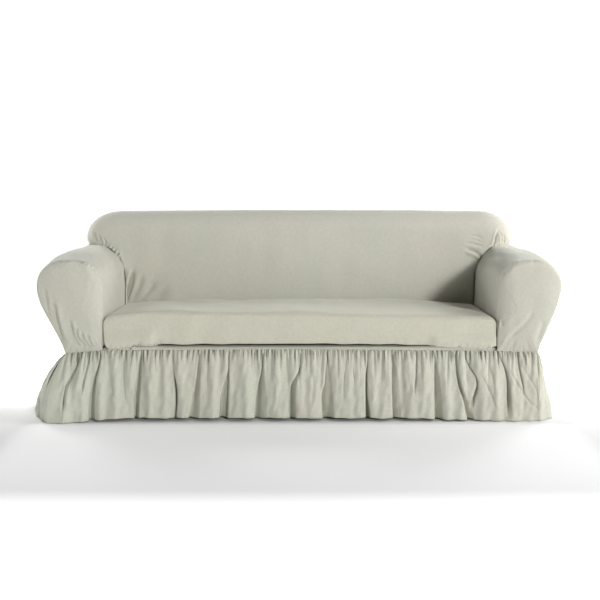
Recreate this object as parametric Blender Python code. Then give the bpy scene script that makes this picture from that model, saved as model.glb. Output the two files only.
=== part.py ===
"""Slipcover for a three-seat sofa with rolled arms: a fitted body cover with a gathered skirt,
and a separate cover for the one long seat cushion.

Metres, +Z up. The seat faces -Y and the origin is on the floor under the middle of the cover.
The cover is empty: each panel is a thin sheet, worked out as a middle surface and then thickened
to both sides. Panels that are sewn together stop GAP short of each other.
"""

import math

import bpy
import numpy as np

# Cloth
CLOTH = 0.002  # thickness of a panel
GAP = 0.0003  # clearance between sewn edges
SQUARE_STOP = CLOTH / 2 + GAP  # from a panel's middle surface to an edge that meets it squarely
SLANT_STOP = CLOTH + GAP  # the same, to an edge that arrives at a slant

# Body
FRONT_Y, REAR_Y = -0.440, 0.440  # the flat arm fronts and the outside back
FLOOR_CLEAR = 0.001  # the lowest hem to the floor

# Rolled arms: a superellipse roll on an upright inner wall, and a slanting outer wall
ARM_X, ARM_Z = 0.968, 0.560  # middle of the roll
ARM_HALF_X, ARM_HALF_Z = 0.138, 0.114
ARM_POWER = 2.2
UNDER_ROLL = math.radians(-20.5)  # where the roll's cloth is sewn to the outer wall
ARM_BASE_X = {-1: 0.989, 1: 1.012}  # foot of the outer wall, left and right
ARM_EDGE_DEPTH, ARM_EDGE_IN = 0.030, 0.004  # the roll draws in towards the front seam
ARM_EDGE_Z = (0.300, 0.450)  # the drawing in starts and is full at these heights
ARM_CROWN = 0.013  # the padded arm front stands out by this much
ARM_CROWN_RINGS = (0.97, 0.42)  # the crown starts and is full at these shares of the outline
ARM_CREASE_RIM = 0.15  # creases fade over this share of the outline, up to its edge
ARM_FRONT_HUB = (0.925, 0.455)  # the arm front's grid runs in rings round this point
ARM_UNDER_BACK = 0.950  # past this x the arm's cloth runs on under the back's end
ARM_PAST_FACE = 0.004  # elsewhere it ends this far behind the back's face
ARM_ROUND_STOP = 0.0038  # from its roll's middle surface to the back's edge, which is made of chords
ARM_FACE_CLEAR = 0.0060  # from there to the rest of the back's face

# Backrest: the crest line in front view, rolled over from the face to the rear seam
CREST_Z, CREST_Y = 0.848, 0.3375
CREST_SIDE_X, CREST_FOOT_X = 1.030, 1.015  # at the corner's end, and where it meets the arm
CREST_CORNER_X, CREST_CORNER_Z = 0.850, 0.711  # middle of the corner's superellipse
CREST_POWER = 2.2
CREST_SAG = 0.006  # the top line is this much lower at its ends
ROLL_INSET, ROLL_REAR, ROLL_POWER = 0.095, 0.125, 2.3
BACK_NOTCH = 0.004  # the outside back's outline leaves the arm's roll this far before the crest's side
FACE_FOOT_Y, FACE_SLOPE, FACE_CURVE = 0.168, 0.079, 0.1585  # the face leans back as it rises
FACE_ON_ROLL = 0.025  # the face's outer column runs this far along the arm's roll
FACE_ROLL_END = math.radians(174)  # the last column that ends on the roll
FACE_WALL_TOP = 0.530  # the first that ends on the arm's inner wall

# Seat deck
DECK_Z = 0.3075
DECK_RADIUS = 0.013

# Seam between the body and the skirt, in front view
SEAM_X = (-0.989, -0.829, 0.0, 0.829, 1.012)
SEAM_Z = (0.277, 0.291, 0.295, 0.288, 0.282)
SEAM_ABOVE, SEAM_BELOW = 0.0004, 0.0006  # panels stop this far over it, and the skirt under it
SEAM_SLANT = 0.0005  # more for the slanting outer arm

# Seat cushion cover
CUSHION_X, CUSHION_FRONT, CUSHION_REAR = 0.826, -0.4315, 0.164
CUSHION_CORNER = 0.030  # in plan
CUSHION_EDGE = 0.025  # radius along the top
CUSHION_CROWN = 0.008
CUSHION_BULGE = 0.004  # of the front boxing
CUSHION_HEM, CUSHION_HEM_RADIUS = 0.028, 0.008  # turned under
CUSHION_Z = DECK_Z + CLOTH + GAP  # the turned hem lies on the deck
SEAT_LINE = (  # x, height of the top edge at the front, and at the rear
    (-0.830, 0.436, 0.414),
    (-0.640, 0.459, 0.427),
    (-0.310, 0.452, 0.433),
    (0.000, 0.451, 0.436),
    (0.500, 0.437, 0.435),
    (0.830, 0.434, 0.411),
)

# Skirt
SKIRT_CORNER = 0.006  # plan radius at the seam
SKIRT_CORNER_RUN = 0.110  # length of skirt that goes round each corner, halfway down
SKIRT_TOP_DEPTH, SKIRT_HEM_DEPTH = 0.015, 0.044  # depth of a full fold under the seam and at the hem
SKIRT_END_STOP = 0.0010  # a strip ends this far before the middle of the corner
SKIRT_SETTLE = 0.10  # share of the drop over which the folds start
SKIRT_KICK = 0.30  # share of the flare that the gathers give just under the seam
FOLD_MIDDLE = 0.55  # a fold goes in from the even line by the rest of its depth, and a ridge stands out
FOLD_POWER = 1.6  # roundness of a fold's section
FOLD_SPREAD = (0.75, 1.20)  # folds are this much of their width at the seam, and at the hem
FOLD_DEEPEST = 1.35
FOLD_FADE = 0.3  # share of the drop over which a short fold dies out
HEM_LIFT = 0.012  # the front hem hangs clear of the floor between the corners
HEM_LIFT_X = (-1.000, -0.700, 0.350, 0.900)  # it rises, is full, is full, and is down again
FLARE = (  # side, share of its length, how far the hem stands out from the seam
    ("front", 0.00, 0.096),
    ("front", 0.05, 0.072),
    ("front", 0.14, 0.052),
    ("front", 0.90, 0.050),
    ("front", 1.00, 0.046),
    ("right", 0.50, 0.048),
    ("back", 0.00, 0.056),
    ("back", 0.50, 0.055),
    ("back", 1.00, 0.062),
    ("left", 0.40, 0.072),
    ("left", 0.85, 0.108),
    ("left", 1.00, 0.096),
)
FRONT_FOLDS = (  # x under the seam, x at the hem, half width, depth, share of the drop it reaches
    (-0.930, -0.984, 0.016, 0.85, 1.00),
    (-0.895, -0.903, 0.012, 0.55, 0.45),
    (-0.838, -0.881, 0.022, 1.10, 1.00),
    (-0.740, -0.729, 0.016, 0.45, 0.65),
    (-0.670, -0.697, 0.018, 1.15, 1.00),
    (-0.600, -0.612, 0.014, 0.25, 0.60),
    (-0.530, -0.513, 0.015, 1.20, 1.00),
    (-0.430, -0.464, 0.018, 0.75, 1.00),
    (-0.365, -0.380, 0.014, 0.35, 0.50),
    (-0.297, -0.316, 0.022, 0.95, 1.00),
    (-0.225, -0.235, 0.014, 0.30, 0.55),
    (-0.153, -0.165, 0.027, 0.90, 1.00),
    (-0.075, -0.090, 0.014, 0.30, 0.50),
    (0.007, -0.030, 0.018, 0.70, 1.00),
    (0.117, 0.119, 0.027, 0.85, 1.00),
    (0.189, 0.192, 0.013, 0.40, 0.60),
    (0.233, 0.226, 0.014, 0.50, 0.50),
    (0.295, 0.290, 0.018, 1.25, 1.00),
    (0.397, 0.411, 0.019, 0.80, 1.00),
    (0.494, 0.479, 0.015, 0.55, 0.50),
    (0.574, 0.585, 0.018, 0.85, 1.00),
    (0.654, 0.705, 0.019, 0.80, 1.00),
    (0.698, 0.734, 0.014, 0.45, 0.70),
    (0.775, 0.800, 0.015, 0.50, 1.00),
    (0.859, 0.877, 0.016, 0.75, 0.65),
    (0.920, 0.990, 0.018, 0.90, 0.85),
)
PLAIN_FOLD_PITCH, PLAIN_FOLD_HALF = 0.115, 0.026  # on the sides and the back
PLAIN_FOLD_UNEVEN = 0.28

# Creases of the arm fronts: side, x and z of both ends, half width, depth
ARM_CREASES = (
    (-1, 1.030, 0.420, 0.990, 0.300, 0.014, 0.006),
    (-1, 0.890, 0.330, 0.850, 0.300, 0.012, 0.004),
    (-1, 1.040, 0.640, 1.085, 0.540, 0.016, 0.004),
    (1, 1.010, 0.440, 0.885, 0.320, 0.016, 0.006),
    (1, 1.000, 0.360, 0.950, 0.300, 0.012, 0.004),
    (1, 0.880, 0.600, 0.850, 0.500, 0.016, 0.004),
)

SIDE_NAMES = {-1: "left", 1: "right"}


def clear_scene():
    for obj in list(bpy.data.objects):
        bpy.data.objects.remove(obj)


def cloth_material(name, colour):
    material = bpy.data.materials.new(name)
    material.use_nodes = True
    shader = material.node_tree.nodes["Principled BSDF"]
    shader.inputs["Base Color"].default_value = (*colour, 1.0)
    shader.inputs["Roughness"].default_value = 0.92
    shader.inputs["Metallic"].default_value = 0.0
    material.diffuse_color = (*colour, 1.0)
    return material


def add_sheet(name, points, faces, colour, parent):
    """A closed, even sheet round a middle surface."""
    mesh = bpy.data.meshes.new(name)
    mesh.from_pydata([tuple(map(float, point)) for point in points], [], faces)
    mesh.shade_smooth()
    mesh.set_sharp_from_angle(angle=math.radians(50))
    mesh.materials.append(cloth_material(name + "_cloth", colour))
    sheet = bpy.data.objects.new(name, mesh)
    bpy.context.scene.collection.objects.link(sheet)
    sheet.parent = parent
    thickness = sheet.modifiers.new("Cloth thickness", "SOLIDIFY")
    thickness.thickness = CLOTH
    thickness.offset = 0.0
    return sheet


def grid_faces(rows, columns, ring=False):
    """Quads of a grid that is stored row by row; a ring's last column meets its first."""
    across = columns if ring else columns - 1
    return [
        (
            row * columns + column,
            row * columns + (column + 1) % columns,
            (row + 1) * columns + (column + 1) % columns,
            (row + 1) * columns + column,
        )
        for row in range(rows - 1)
        for column in range(across)
    ]


def add_grid(name, grid, colour, parent, ring=False):
    grid = np.asarray(grid, float)
    rows, columns = grid.shape[:2]
    return add_sheet(name, grid.reshape(-1, 3), grid_faces(rows, columns, ring), colour, parent)


def ease(value):
    """0 to 1 with a level start and end."""
    value = min(max(value, 0.0), 1.0)
    return value * value * (3 - 2 * value)


def rounded_table(x, stations, values, reach=0.07):
    """A table read between its stations, with the corners at the stations rounded off."""
    spread = x + reach * np.linspace(-1, 1, 7)
    return float(np.mean(np.interp(spread, stations, values)))


def seam_z(x):
    return float(np.interp(x, SEAM_X, SEAM_Z))


# Arms ------------------------------------------------------------------------------------------


def roll_point(angle, out=0.0):
    """A point of the arm's roll in front view; out is the distance outside its middle surface."""
    half_x, half_z = ARM_HALF_X + out, ARM_HALF_Z + out
    c, s = math.cos(angle), math.sin(angle)
    return (
        ARM_X + half_x * math.copysign(abs(c) ** (2 / ARM_POWER), c),
        ARM_Z + half_z * math.copysign(abs(s) ** (2 / ARM_POWER), s),
    )


def arm_top_z(x, out=0.0):
    """Height of the roll over x."""
    share = min(abs(x - ARM_X) / (ARM_HALF_X + out), 1.0)
    return ARM_Z + (ARM_HALF_Z + out) * (1 - share**ARM_POWER) ** (1 / ARM_POWER)


def roll_angle_at(x):
    """Angle of the roll's upper half over x."""
    share = (x - ARM_X) / ARM_HALF_X
    return math.acos(math.copysign(abs(share) ** (ARM_POWER / 2), share))


def drawn_in(x, z, y):
    """The arm's outline narrows as the roll turns in to the front seam."""
    near = max(0.0, 1 - (y - FRONT_Y) / ARM_EDGE_DEPTH)
    pull = ARM_EDGE_IN * near**2 * ease((z - ARM_EDGE_Z[0]) / (ARM_EDGE_Z[1] - ARM_EDGE_Z[0]))
    reach = math.hypot(x - ARM_X, z - ARM_Z)
    if z >= ARM_Z:
        return x - pull * (x - ARM_X) / reach, z - pull * (z - ARM_Z) / reach
    return x - math.copysign(pull, x - ARM_X), z


def inner_and_roll(steps_wall=3, steps_roll=13):
    """The inside arm's outline: up the inner wall, over the roll to the seam under it."""
    foot = DECK_Z - CLOTH / 2
    inner_x = ARM_X - ARM_HALF_X
    wall = [(inner_x, z) for z in np.linspace(foot, ARM_Z, steps_wall + 1)[:-1]]
    last = UNDER_ROLL + SEAM_BELOW / 2 / ARM_HALF_Z
    return wall + [roll_point(angle) for angle in np.linspace(math.pi, last, steps_roll + 1)]


def outer_wall(side, steps=4):
    """The outside arm's outline: from the seam under the roll straight down to the skirt."""
    top = np.array(roll_point(UNDER_ROLL - SEAM_BELOW / 2 / ARM_HALF_Z))
    base = ARM_BASE_X[side]
    foot = np.array((base, seam_z(side * base) + SEAM_ABOVE + SEAM_SLANT))
    return [tuple(top + (foot - top) * share) for share in np.linspace(0, 1, steps + 1)]


def face_y(z):
    """The backrest's face, without its roll."""
    rise = z - DECK_Z
    return FACE_FOOT_Y + FACE_SLOPE * rise + FACE_CURVE * rise * rise


def roll_front_y(inset, z):
    """The backrest's surface, inset from the crest line in front view, on the seat's side."""
    share = min(inset / ROLL_INSET, 1.0)
    turn = (1 - (1 - share) ** ROLL_POWER) ** (1 / ROLL_POWER)
    return CREST_Y - (CREST_Y - face_y(z)) * turn


def arm_end_y(x, z):
    """Where the arm's cloth ends at the back."""
    if x > ARM_UNDER_BACK or z < ARM_Z and x > ARM_X:
        return REAR_Y - SQUARE_STOP
    if z < ARM_Z:
        return face_y(z) + ARM_PAST_FACE
    return roll_front_y(CREST_FOOT_X - x, z) + ARM_PAST_FACE


def arm_sheet(name, side, outline, colour, parent):
    """An outline in front view, carried from the front seam to the back."""
    near = FRONT_Y + SLANT_STOP
    grid = []
    for x, z in outline:
        far = arm_end_y(x, z)
        stations = [near + ARM_EDGE_DEPTH * share for share in (0.0, 0.3, 1.0)]
        stations += list(np.linspace(stations[-1], far, 5)[1:])
        column = [(*drawn_in(x, z, y), y) for y in stations]
        grid.append([(side * px, y, pz) for px, pz, y in column])
    return add_grid(name, grid, colour, parent)


def crease(x, z, side):
    """Depth of the arm front's creases at a point."""
    depth = 0.0
    for crease_side, x0, z0, x1, z1, half, deep in ARM_CREASES:
        if crease_side != side:
            continue
        along = np.array((x1 - x0, z1 - z0))
        to = np.array((x - x0, z - z0))
        share = min(max(float(to @ along) / float(along @ along), 0.0), 1.0)
        away = math.hypot(*(to - along * share))
        depth += deep * math.exp(-((away / half) ** 2))
    return depth


def arm_front_outline(side):
    """The arm front's edge, just over the cloth that ends behind it."""
    half = CLOTH / 2
    base = ARM_BASE_X[side]
    inner_x = ARM_X - ARM_HALF_X - half
    inner_foot = (inner_x, seam_z(side * inner_x) + SEAM_ABOVE)
    outer_foot = (base + half, seam_z(side * base) + SEAM_ABOVE)
    top = np.array(roll_point(UNDER_ROLL, half))
    points = [(inner_x, z) for z in np.linspace(inner_foot[1], ARM_Z, 7)[:-1]]
    points += [roll_point(angle, half) for angle in np.linspace(math.pi, UNDER_ROLL, 22)]
    points += [tuple(top + (np.array(outer_foot) - top) * share) for share in np.linspace(0, 1, 8)[1:]]
    points += [
        tuple(np.array(outer_foot) + (np.array(inner_foot) - np.array(outer_foot)) * share)
        for share in np.linspace(0, 1, 6)[1:-1]
    ]
    return [drawn_in(x, z, FRONT_Y) for x, z in points]


def arm_front(side, colour, parent):
    """A crowned panel, built in rings from its edge to its hub."""
    outline = arm_front_outline(side)
    hub = np.array(ARM_FRONT_HUB)
    points = []
    rings = (1.0, 0.94, 0.82, 0.66, 0.46, 0.24)
    for ring in rings:
        for edge in outline:
            x, z = hub + (np.array(edge) - hub) * ring
            outer, inner = ARM_CROWN_RINGS
            stand = ARM_CROWN * ease((outer - ring) / (outer - inner))
            stand -= crease(x, z, side) * ease((1 - ring) / ARM_CREASE_RIM)
            points.append((side * x, FRONT_Y - stand, z))
    faces = grid_faces(len(rings), len(outline), ring=True)
    points.append((side * hub[0], FRONT_Y - ARM_CROWN, hub[1]))
    last = (len(rings) - 1) * len(outline)
    for column in range(len(outline)):
        faces.append((last + column, last + (column + 1) % len(outline), len(points) - 1))
    return add_sheet(f"arm_front_{SIDE_NAMES[side]}", points, faces, colour, parent)


# Backrest --------------------------------------------------------------------------------------


def crest_half(inset, top_steps=6):
    """Half the crest line in front view, from the arm's top to the middle, drawn in by inset."""
    foot_x = CREST_FOOT_X - inset
    foot = (foot_x, arm_top_z(foot_x, SLANT_STOP))
    side_x = CREST_SIDE_X - inset
    side_mid = ((foot_x + side_x) / 2, (foot[1] + CREST_CORNER_Z) / 2)
    points = [foot, side_mid]
    half_x = CREST_SIDE_X - CREST_CORNER_X - inset
    half_z = CREST_Z - CREST_SAG - CREST_CORNER_Z - inset
    for angle in np.linspace(0, math.pi / 2, 9):
        points.append(
            (
                CREST_CORNER_X + half_x * math.cos(angle) ** (2 / CREST_POWER),
                CREST_CORNER_Z + half_z * max(math.sin(angle), 0.0) ** (2 / CREST_POWER),
            )
        )
    for share in np.linspace(1, 0, top_steps + 1)[1:]:
        sag = CREST_SAG * share**2
        points.append((CREST_CORNER_X * share, CREST_Z - sag - inset))
    return points


def face_foot_half():
    """Where each column of the inside back ends: on the arm's roll, its inner wall, or the deck."""
    inner_x = ARM_X - ARM_HALF_X - SLANT_STOP
    foot_z = DECK_Z - CLOTH / 2
    first = roll_angle_at(CREST_FOOT_X - ROLL_INSET - FACE_ON_ROLL)
    points = [roll_point(angle, ARM_ROUND_STOP) for angle in np.linspace(first, FACE_ROLL_END, 10)]
    points += [(inner_x, z) for z in np.linspace(FACE_WALL_TOP, foot_z, 4)]
    points += [(inner_x * share, foot_z) for share in np.linspace(1, 0, 4)[1:]]
    return points


def clear_of_arm(x, z):
    """Moves a point of the back's face out of the arm."""
    half_x, half_z = ARM_HALF_X + ARM_FACE_CLEAR, ARM_HALF_Z + ARM_FACE_CLEAR
    if z < ARM_Z:
        return min(x, ARM_X - half_x), z
    value = abs((x - ARM_X) / half_x) ** ARM_POWER + ((z - ARM_Z) / half_z) ** ARM_POWER
    if value >= 1:
        return x, z
    grow = value ** (-1 / ARM_POWER)
    return ARM_X + (x - ARM_X) * grow, ARM_Z + (z - ARM_Z) * grow


def rear_inset(y):
    """How far inside the crest line the roll is at y, on the rear side."""
    share = min((y - CREST_Y) / ROLL_REAR, 1.0)
    return ROLL_INSET * (1 - (1 - share**ROLL_POWER) ** (1 / ROLL_POWER))


def mirrored(half):
    """A list from the right foot to the middle, carried on to the left foot."""
    return half + [(-x, *rest) for x, *rest in reversed(half[:-1])]


def inside_back(colour, parent):
    """From the rear seam over the crest and down the face, as one sheet."""
    last_y = REAR_Y - SLANT_STOP
    grid = []
    for y in np.linspace(last_y, CREST_Y, 4):
        half = [(x, y, z) for x, z in crest_half(rear_inset(y))]
        grid.append(mirrored(half))
    for share in (0.04, 0.16, 0.38, 0.68, 1.0):
        inset = ROLL_INSET * share
        half = [(x, roll_front_y(inset, z), z) for x, z in crest_half(inset)]
        grid.append(mirrored(half))
    start, end = crest_half(ROLL_INSET), face_foot_half()
    for share in (0.16, 0.34, 0.52, 0.70, 0.86):
        half = []
        for (x0, z0), (x1, z1) in zip(start, end):
            x, z = clear_of_arm(x0 + (x1 - x0) * share, z0 + (z1 - z0) * share)
            half.append((x, face_y(z), z))
        grid.append(mirrored(half))
    grid.append(mirrored([(x, face_y(z), z) for x, z in end]))
    return add_grid("inside_back", grid, colour, parent)


def outside_back(colour, parent):
    """One flat panel, over the rear ends of the arms and of the crest's roll."""
    half = CLOTH / 2
    points = []
    for side in (1, -1):
        base = ARM_BASE_X[side]
        edge = [(side * x, z + SEAM_ABOVE) for x, z in zip(SEAM_X, SEAM_Z) if 0 < side * x < base]
        edge.sort()
        edge.append((base + half, seam_z(side * base) + SEAM_ABOVE))
        last = roll_angle_at(CREST_FOOT_X - rear_inset(REAR_Y) + BACK_NOTCH)
        edge += [roll_point(angle, half) for angle in np.linspace(UNDER_ROLL, last, 10)]
        edge += crest_half(rear_inset(REAR_Y) - half)[1:]
        edge = [(side * x, REAR_Y, z) for x, z in edge]
        points += edge[:-1] if side == 1 else list(reversed(edge))
    points.append((0.0, REAR_Y, seam_z(0.0) + SEAM_ABOVE))
    return add_sheet("outside_back", points, [tuple(range(len(points)))], colour, parent)


# Seat ------------------------------------------------------------------------------------------


def seat_deck(colour, parent):
    """The cloth under the cushion, with its front edge rolled down to the skirt's seam."""
    edge_x = ARM_X - ARM_HALF_X - SQUARE_STOP
    grid = []
    for x in np.linspace(-edge_x, edge_x, 13):
        rear = face_y(DECK_Z) - SQUARE_STOP - GAP
        bend = FRONT_Y + DECK_RADIUS
        column = [(x, y, DECK_Z) for y in np.linspace(rear, bend, 5)]
        for angle in np.radians((22, 45, 68, 90)):
            y = bend - DECK_RADIUS * math.sin(angle)
            drop = DECK_RADIUS * (1 - math.cos(angle))
            foot = seam_z(x) + SEAM_ABOVE
            column.append((x, y, max(DECK_Z - drop, foot + 0.002 * (1 - angle / math.pi))))
        column.append((x, FRONT_Y, seam_z(x) + SEAM_ABOVE))
        grid.append(column)
    return add_grid("seat_deck", grid, colour, parent)


def seat_top(x, y):
    """Height of the cushion's top, without the turn at its edge."""
    stations, front, rear = zip(*SEAT_LINE)
    along = (y - CUSHION_FRONT) / (CUSHION_REAR - CUSHION_FRONT)
    across = x / CUSHION_X
    line = rounded_table(x, stations, front) * (1 - along) + rounded_table(x, stations, rear) * along
    return line + CUSHION_CROWN * (1 - across**2) * 4 * along * (1 - along)


def cushion_loop(inset, columns=18, rows=8):
    """Points round the cushion's rounded rectangle, drawn in by inset, in the order of a grid's edge."""
    return [
        cushion_plan(u, v, inset)
        for u, v in grid_edge(columns, rows)
    ]


def grid_lines(count):
    """From -1 to 1, with two more lines near each end for the rounded corners."""
    inner = np.linspace(-0.96, 0.96, count - 3)
    return [-1.0, -0.985, *inner, 0.985, 1.0]


def grid_edge(columns, rows):
    u, v = grid_lines(columns), grid_lines(rows)
    front = [(a, -1.0) for a in u[:-1]]
    right = [(1.0, b) for b in v[:-1]]
    rear = [(a, 1.0) for a in reversed(u[1:])]
    left = [(-1.0, b) for b in reversed(v[1:])]
    return front + right + rear + left


def cushion_plan(u, v, inset):
    """A grid point in plan, its corners rounded."""
    half_x = CUSHION_X - inset
    half_y = (CUSHION_REAR - CUSHION_FRONT) / 2 - inset
    corner = max(CUSHION_CORNER - inset, 0.006)
    x, y = half_x * u, half_y * v
    dx, dy = abs(x) - (half_x - corner), abs(y) - (half_y - corner)
    if dx > 0 and dy > 0:
        shrink = max(dx, dy) / math.hypot(dx, dy)
        x = math.copysign(half_x - corner + dx * shrink, x)
        y = math.copysign(half_y - corner + dy * shrink, y)
    return x, y + (CUSHION_REAR + CUSHION_FRONT) / 2


def edge_distance(x, y):
    half_y = (CUSHION_REAR - CUSHION_FRONT) / 2
    return min(CUSHION_X - abs(x), half_y - abs(y - (CUSHION_REAR + CUSHION_FRONT) / 2))


def edge_drop(inset):
    """How far the top has turned down at this distance from the side."""
    share = max(0.0, 1 - inset / CUSHION_EDGE)
    return CUSHION_EDGE * (1 - math.sqrt(1 - share * share))


SEAM_INSET = CUSHION_EDGE * (1 - math.sin(math.radians(45)))  # the top is sewn halfway round the turn
SEAM_HALF_GAP = 0.0005


def seat_cover_top(colour, parent, columns=18, rows=8):
    inset = SEAM_INSET + SEAM_HALF_GAP
    grid = []
    for v in grid_lines(rows):
        row = []
        for u in grid_lines(columns):
            x, y = cushion_plan(u, v, inset)
            row.append((x, y, seat_top(x, y) - edge_drop(max(edge_distance(x, y), inset))))
        grid.append(row)
    return add_grid("seat_cover_top", grid, colour, parent)


def seat_cover_boxing(colour, parent):
    """A band right round the cushion, its elastic hem turned under and open in the middle."""
    seam = SEAM_INSET - SEAM_HALF_GAP
    grid = []
    for inset in (seam, 0.0):
        loop = cushion_loop(inset)
        grid.append([(x, y, seat_top(x, y) - edge_drop(inset)) for x, y in loop])
    outer = cushion_loop(0.0)
    top_of_turn = CUSHION_Z + CUSHION_HEM_RADIUS
    for share in (0.5, 1.0):
        ring = []
        for (x, y), (_, _, high) in zip(outer, grid[1]):
            bulge = CUSHION_BULGE * math.sin(math.pi * share) if y < CUSHION_FRONT + GAP else 0.0
            ring.append((x, y - bulge, high + (top_of_turn - high) * share))
        grid.append(ring)
    for angle in np.radians((45, 90)):
        inset = CUSHION_HEM_RADIUS * (1 - math.cos(angle))
        z = top_of_turn - CUSHION_HEM_RADIUS * math.sin(angle)
        grid.append([(x, y, z) for x, y in cushion_loop(inset)])
    grid.append([(x, y, CUSHION_Z) for x, y in cushion_loop(CUSHION_HEM)])
    return add_grid("seat_cover_boxing", grid, colour, parent, ring=True)


# Skirt -----------------------------------------------------------------------------------------

SKIRT_SIDES = ("front", "right", "back", "left")


def side_length(side):
    if side in ("front", "back"):
        return ARM_BASE_X[1] + ARM_BASE_X[-1] - 2 * SKIRT_CORNER
    return REAR_Y - FRONT_Y - 2 * SKIRT_CORNER


def side_start(side):
    """Distance along the skirt from the middle of the front left corner to the side's first straight."""
    before = SKIRT_SIDES[: SKIRT_SIDES.index(side)]
    return SKIRT_CORNER_RUN * (0.5 + len(before)) + sum(side_length(name) for name in before)


SKIRT_LENGTH = side_start("left") + side_length("left") + SKIRT_CORNER_RUN / 2


def skirt_path(s):
    """Plan point of the seam and the outward direction, at a distance along the skirt."""
    s %= SKIRT_LENGTH
    left, right = -ARM_BASE_X[-1] + SKIRT_CORNER, ARM_BASE_X[1] - SKIRT_CORNER
    front, rear = FRONT_Y + SKIRT_CORNER, REAR_Y - SKIRT_CORNER
    corners = {"front": (left, front), "right": (right, front), "back": (right, rear), "left": (left, rear)}
    for index, side in enumerate(SKIRT_SIDES):
        start, length = side_start(side), side_length(side)
        if s > start + length + SKIRT_CORNER_RUN / 2:
            continue
        along = min(max(s - start, 0.0), length)
        turn = (s - start - along) / SKIRT_CORNER_RUN * math.pi / 2
        facing = -math.pi / 2 + index * math.pi / 2
        hub = np.array(corners[side]) + along * np.array((-math.sin(facing), math.cos(facing)))
        out = np.array((math.cos(facing + turn), math.sin(facing + turn)))
        return hub + out * SKIRT_CORNER, out
    raise ValueError(s)


def all_folds():
    """Every fold as distance along the skirt under the seam and at the hem, half width, depth, reach."""
    front = side_start("front") + ARM_BASE_X[-1] - SKIRT_CORNER
    folds = [(front + top, front + hem, half, deep, reach) for top, hem, half, deep, reach in FRONT_FOLDS]
    s = side_start("right") - SKIRT_CORNER_RUN / 3
    number = 0
    while s < SKIRT_LENGTH - PLAIN_FOLD_HALF:
        drift = 0.020 * math.sin(2.1 * number + 0.5)
        deep = 0.85 + 0.30 * math.sin(3.7 * number + 1.0)
        half = PLAIN_FOLD_HALF + 0.004 * math.sin(5.3 * number)
        folds.append((s, s + drift, half, deep, 1.0 if number % 4 else 0.6))
        s += PLAIN_FOLD_PITCH * (1 + PLAIN_FOLD_UNEVEN * math.sin(2.4 * number + 0.9))
        number += 1
    return folds


FOLDS = all_folds()


def fold_depth(s, drop):
    """0 on a ridge, about 1 in a full fold."""
    depth = 0.0
    for top, hem, half, deep, reach in FOLDS:
        centre = top + (hem - top) * drop
        away = abs((s - centre + SKIRT_LENGTH / 2) % SKIRT_LENGTH - SKIRT_LENGTH / 2)
        width = half * (FOLD_SPREAD[0] + (FOLD_SPREAD[1] - FOLD_SPREAD[0]) * drop)
        fade = 1.0 if reach >= 1 else 1 - ease((drop - reach) / FOLD_FADE + 0.5)
        depth += deep * fade * math.exp(-((away / width) ** FOLD_POWER))
    return min(depth, FOLD_DEEPEST)


def flare_at(s):
    stations = [(side_start(side) + share * side_length(side), out) for side, share, out in FLARE]
    first, last = stations[0], stations[-1]
    stations = [(last[0] - SKIRT_LENGTH, last[1])] + stations + [(first[0] + SKIRT_LENGTH, first[1])]
    where, out = zip(*stations)
    return rounded_table(s, where, out, reach=0.05)


def hem_z(x, y):
    """The front hem hangs clear of the floor between the corners; elsewhere the hem reaches it."""
    rise, full, still_full, down = HEM_LIFT_X
    lift = ease((x - rise) / (full - rise)) * (1 - ease((x - still_full) / (down - still_full)))
    return FLOOR_CLEAR + HEM_LIFT * lift * (y < 0)


def skirt_point(s, drop, end=0):
    """A point of the skirt: distance along it, and 0 at the seam to 1 at the hem. A strip's own
    ends, -1 and 1, stop a little short."""
    base, out = skirt_path(s)
    start = min(drop / SKIRT_SETTLE, 1.0)
    depth = (SKIRT_TOP_DEPTH + (SKIRT_HEM_DEPTH - SKIRT_TOP_DEPTH) * drop) * start
    stand = flare_at(s) * (SKIRT_KICK * math.sin(drop * math.pi / 2) + (1 - SKIRT_KICK) * drop)
    stand += depth * (FOLD_MIDDLE - fold_depth(s, drop))
    x, y = base + out * stand - end * SKIRT_END_STOP * np.array((-out[1], out[0]))
    top = seam_z(base[0]) - SEAM_BELOW
    return x, y, top + (hem_z(x, y) - top) * drop


def skirt_strip(side, spacing, colour, parent):
    """One side's strip, from the middle of one corner to the middle of the next."""
    start = side_start(side) - SKIRT_CORNER_RUN / 2
    length = side_length(side) + SKIRT_CORNER_RUN
    count = round(length / spacing)
    drops = (0.0, SKIRT_SETTLE, 0.32, 0.64, 1.0)
    grid = []
    for column, s in enumerate(np.linspace(start, start + length, count + 1)):
        end = (column == count) - (column == 0)
        grid.append([skirt_point(s, drop, end) for drop in drops])
    return add_grid(f"skirt_{side}", grid, colour, parent)


# Whole cover -----------------------------------------------------------------------------------

SAGE = (0.520, 0.515, 0.440)
SAGE_SHADED = (0.475, 0.475, 0.405)
SAGE_LIGHT = (0.560, 0.555, 0.475)


def build():
    clear_scene()
    cover = bpy.data.objects.new("slipcover", None)
    bpy.context.scene.collection.objects.link(cover)
    inside_back(SAGE_SHADED, cover)
    outside_back(SAGE_SHADED, cover)
    for side in (-1, 1):
        hand = SIDE_NAMES[side]
        arm_sheet(f"inside_arm_{hand}", side, inner_and_roll(), SAGE, cover)
        arm_sheet(f"outside_arm_{hand}", side, outer_wall(side), SAGE, cover)
        arm_front(side, SAGE, cover)
    seat_deck(SAGE_SHADED, cover)
    seat_cover_top(SAGE_LIGHT, cover)
    seat_cover_boxing(SAGE_LIGHT, cover)
    skirt_strip("front", 0.0115, SAGE, cover)
    skirt_strip("right", 0.018, SAGE, cover)
    skirt_strip("back", 0.021, SAGE, cover)
    skirt_strip("left", 0.018, SAGE, cover)


build()
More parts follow.
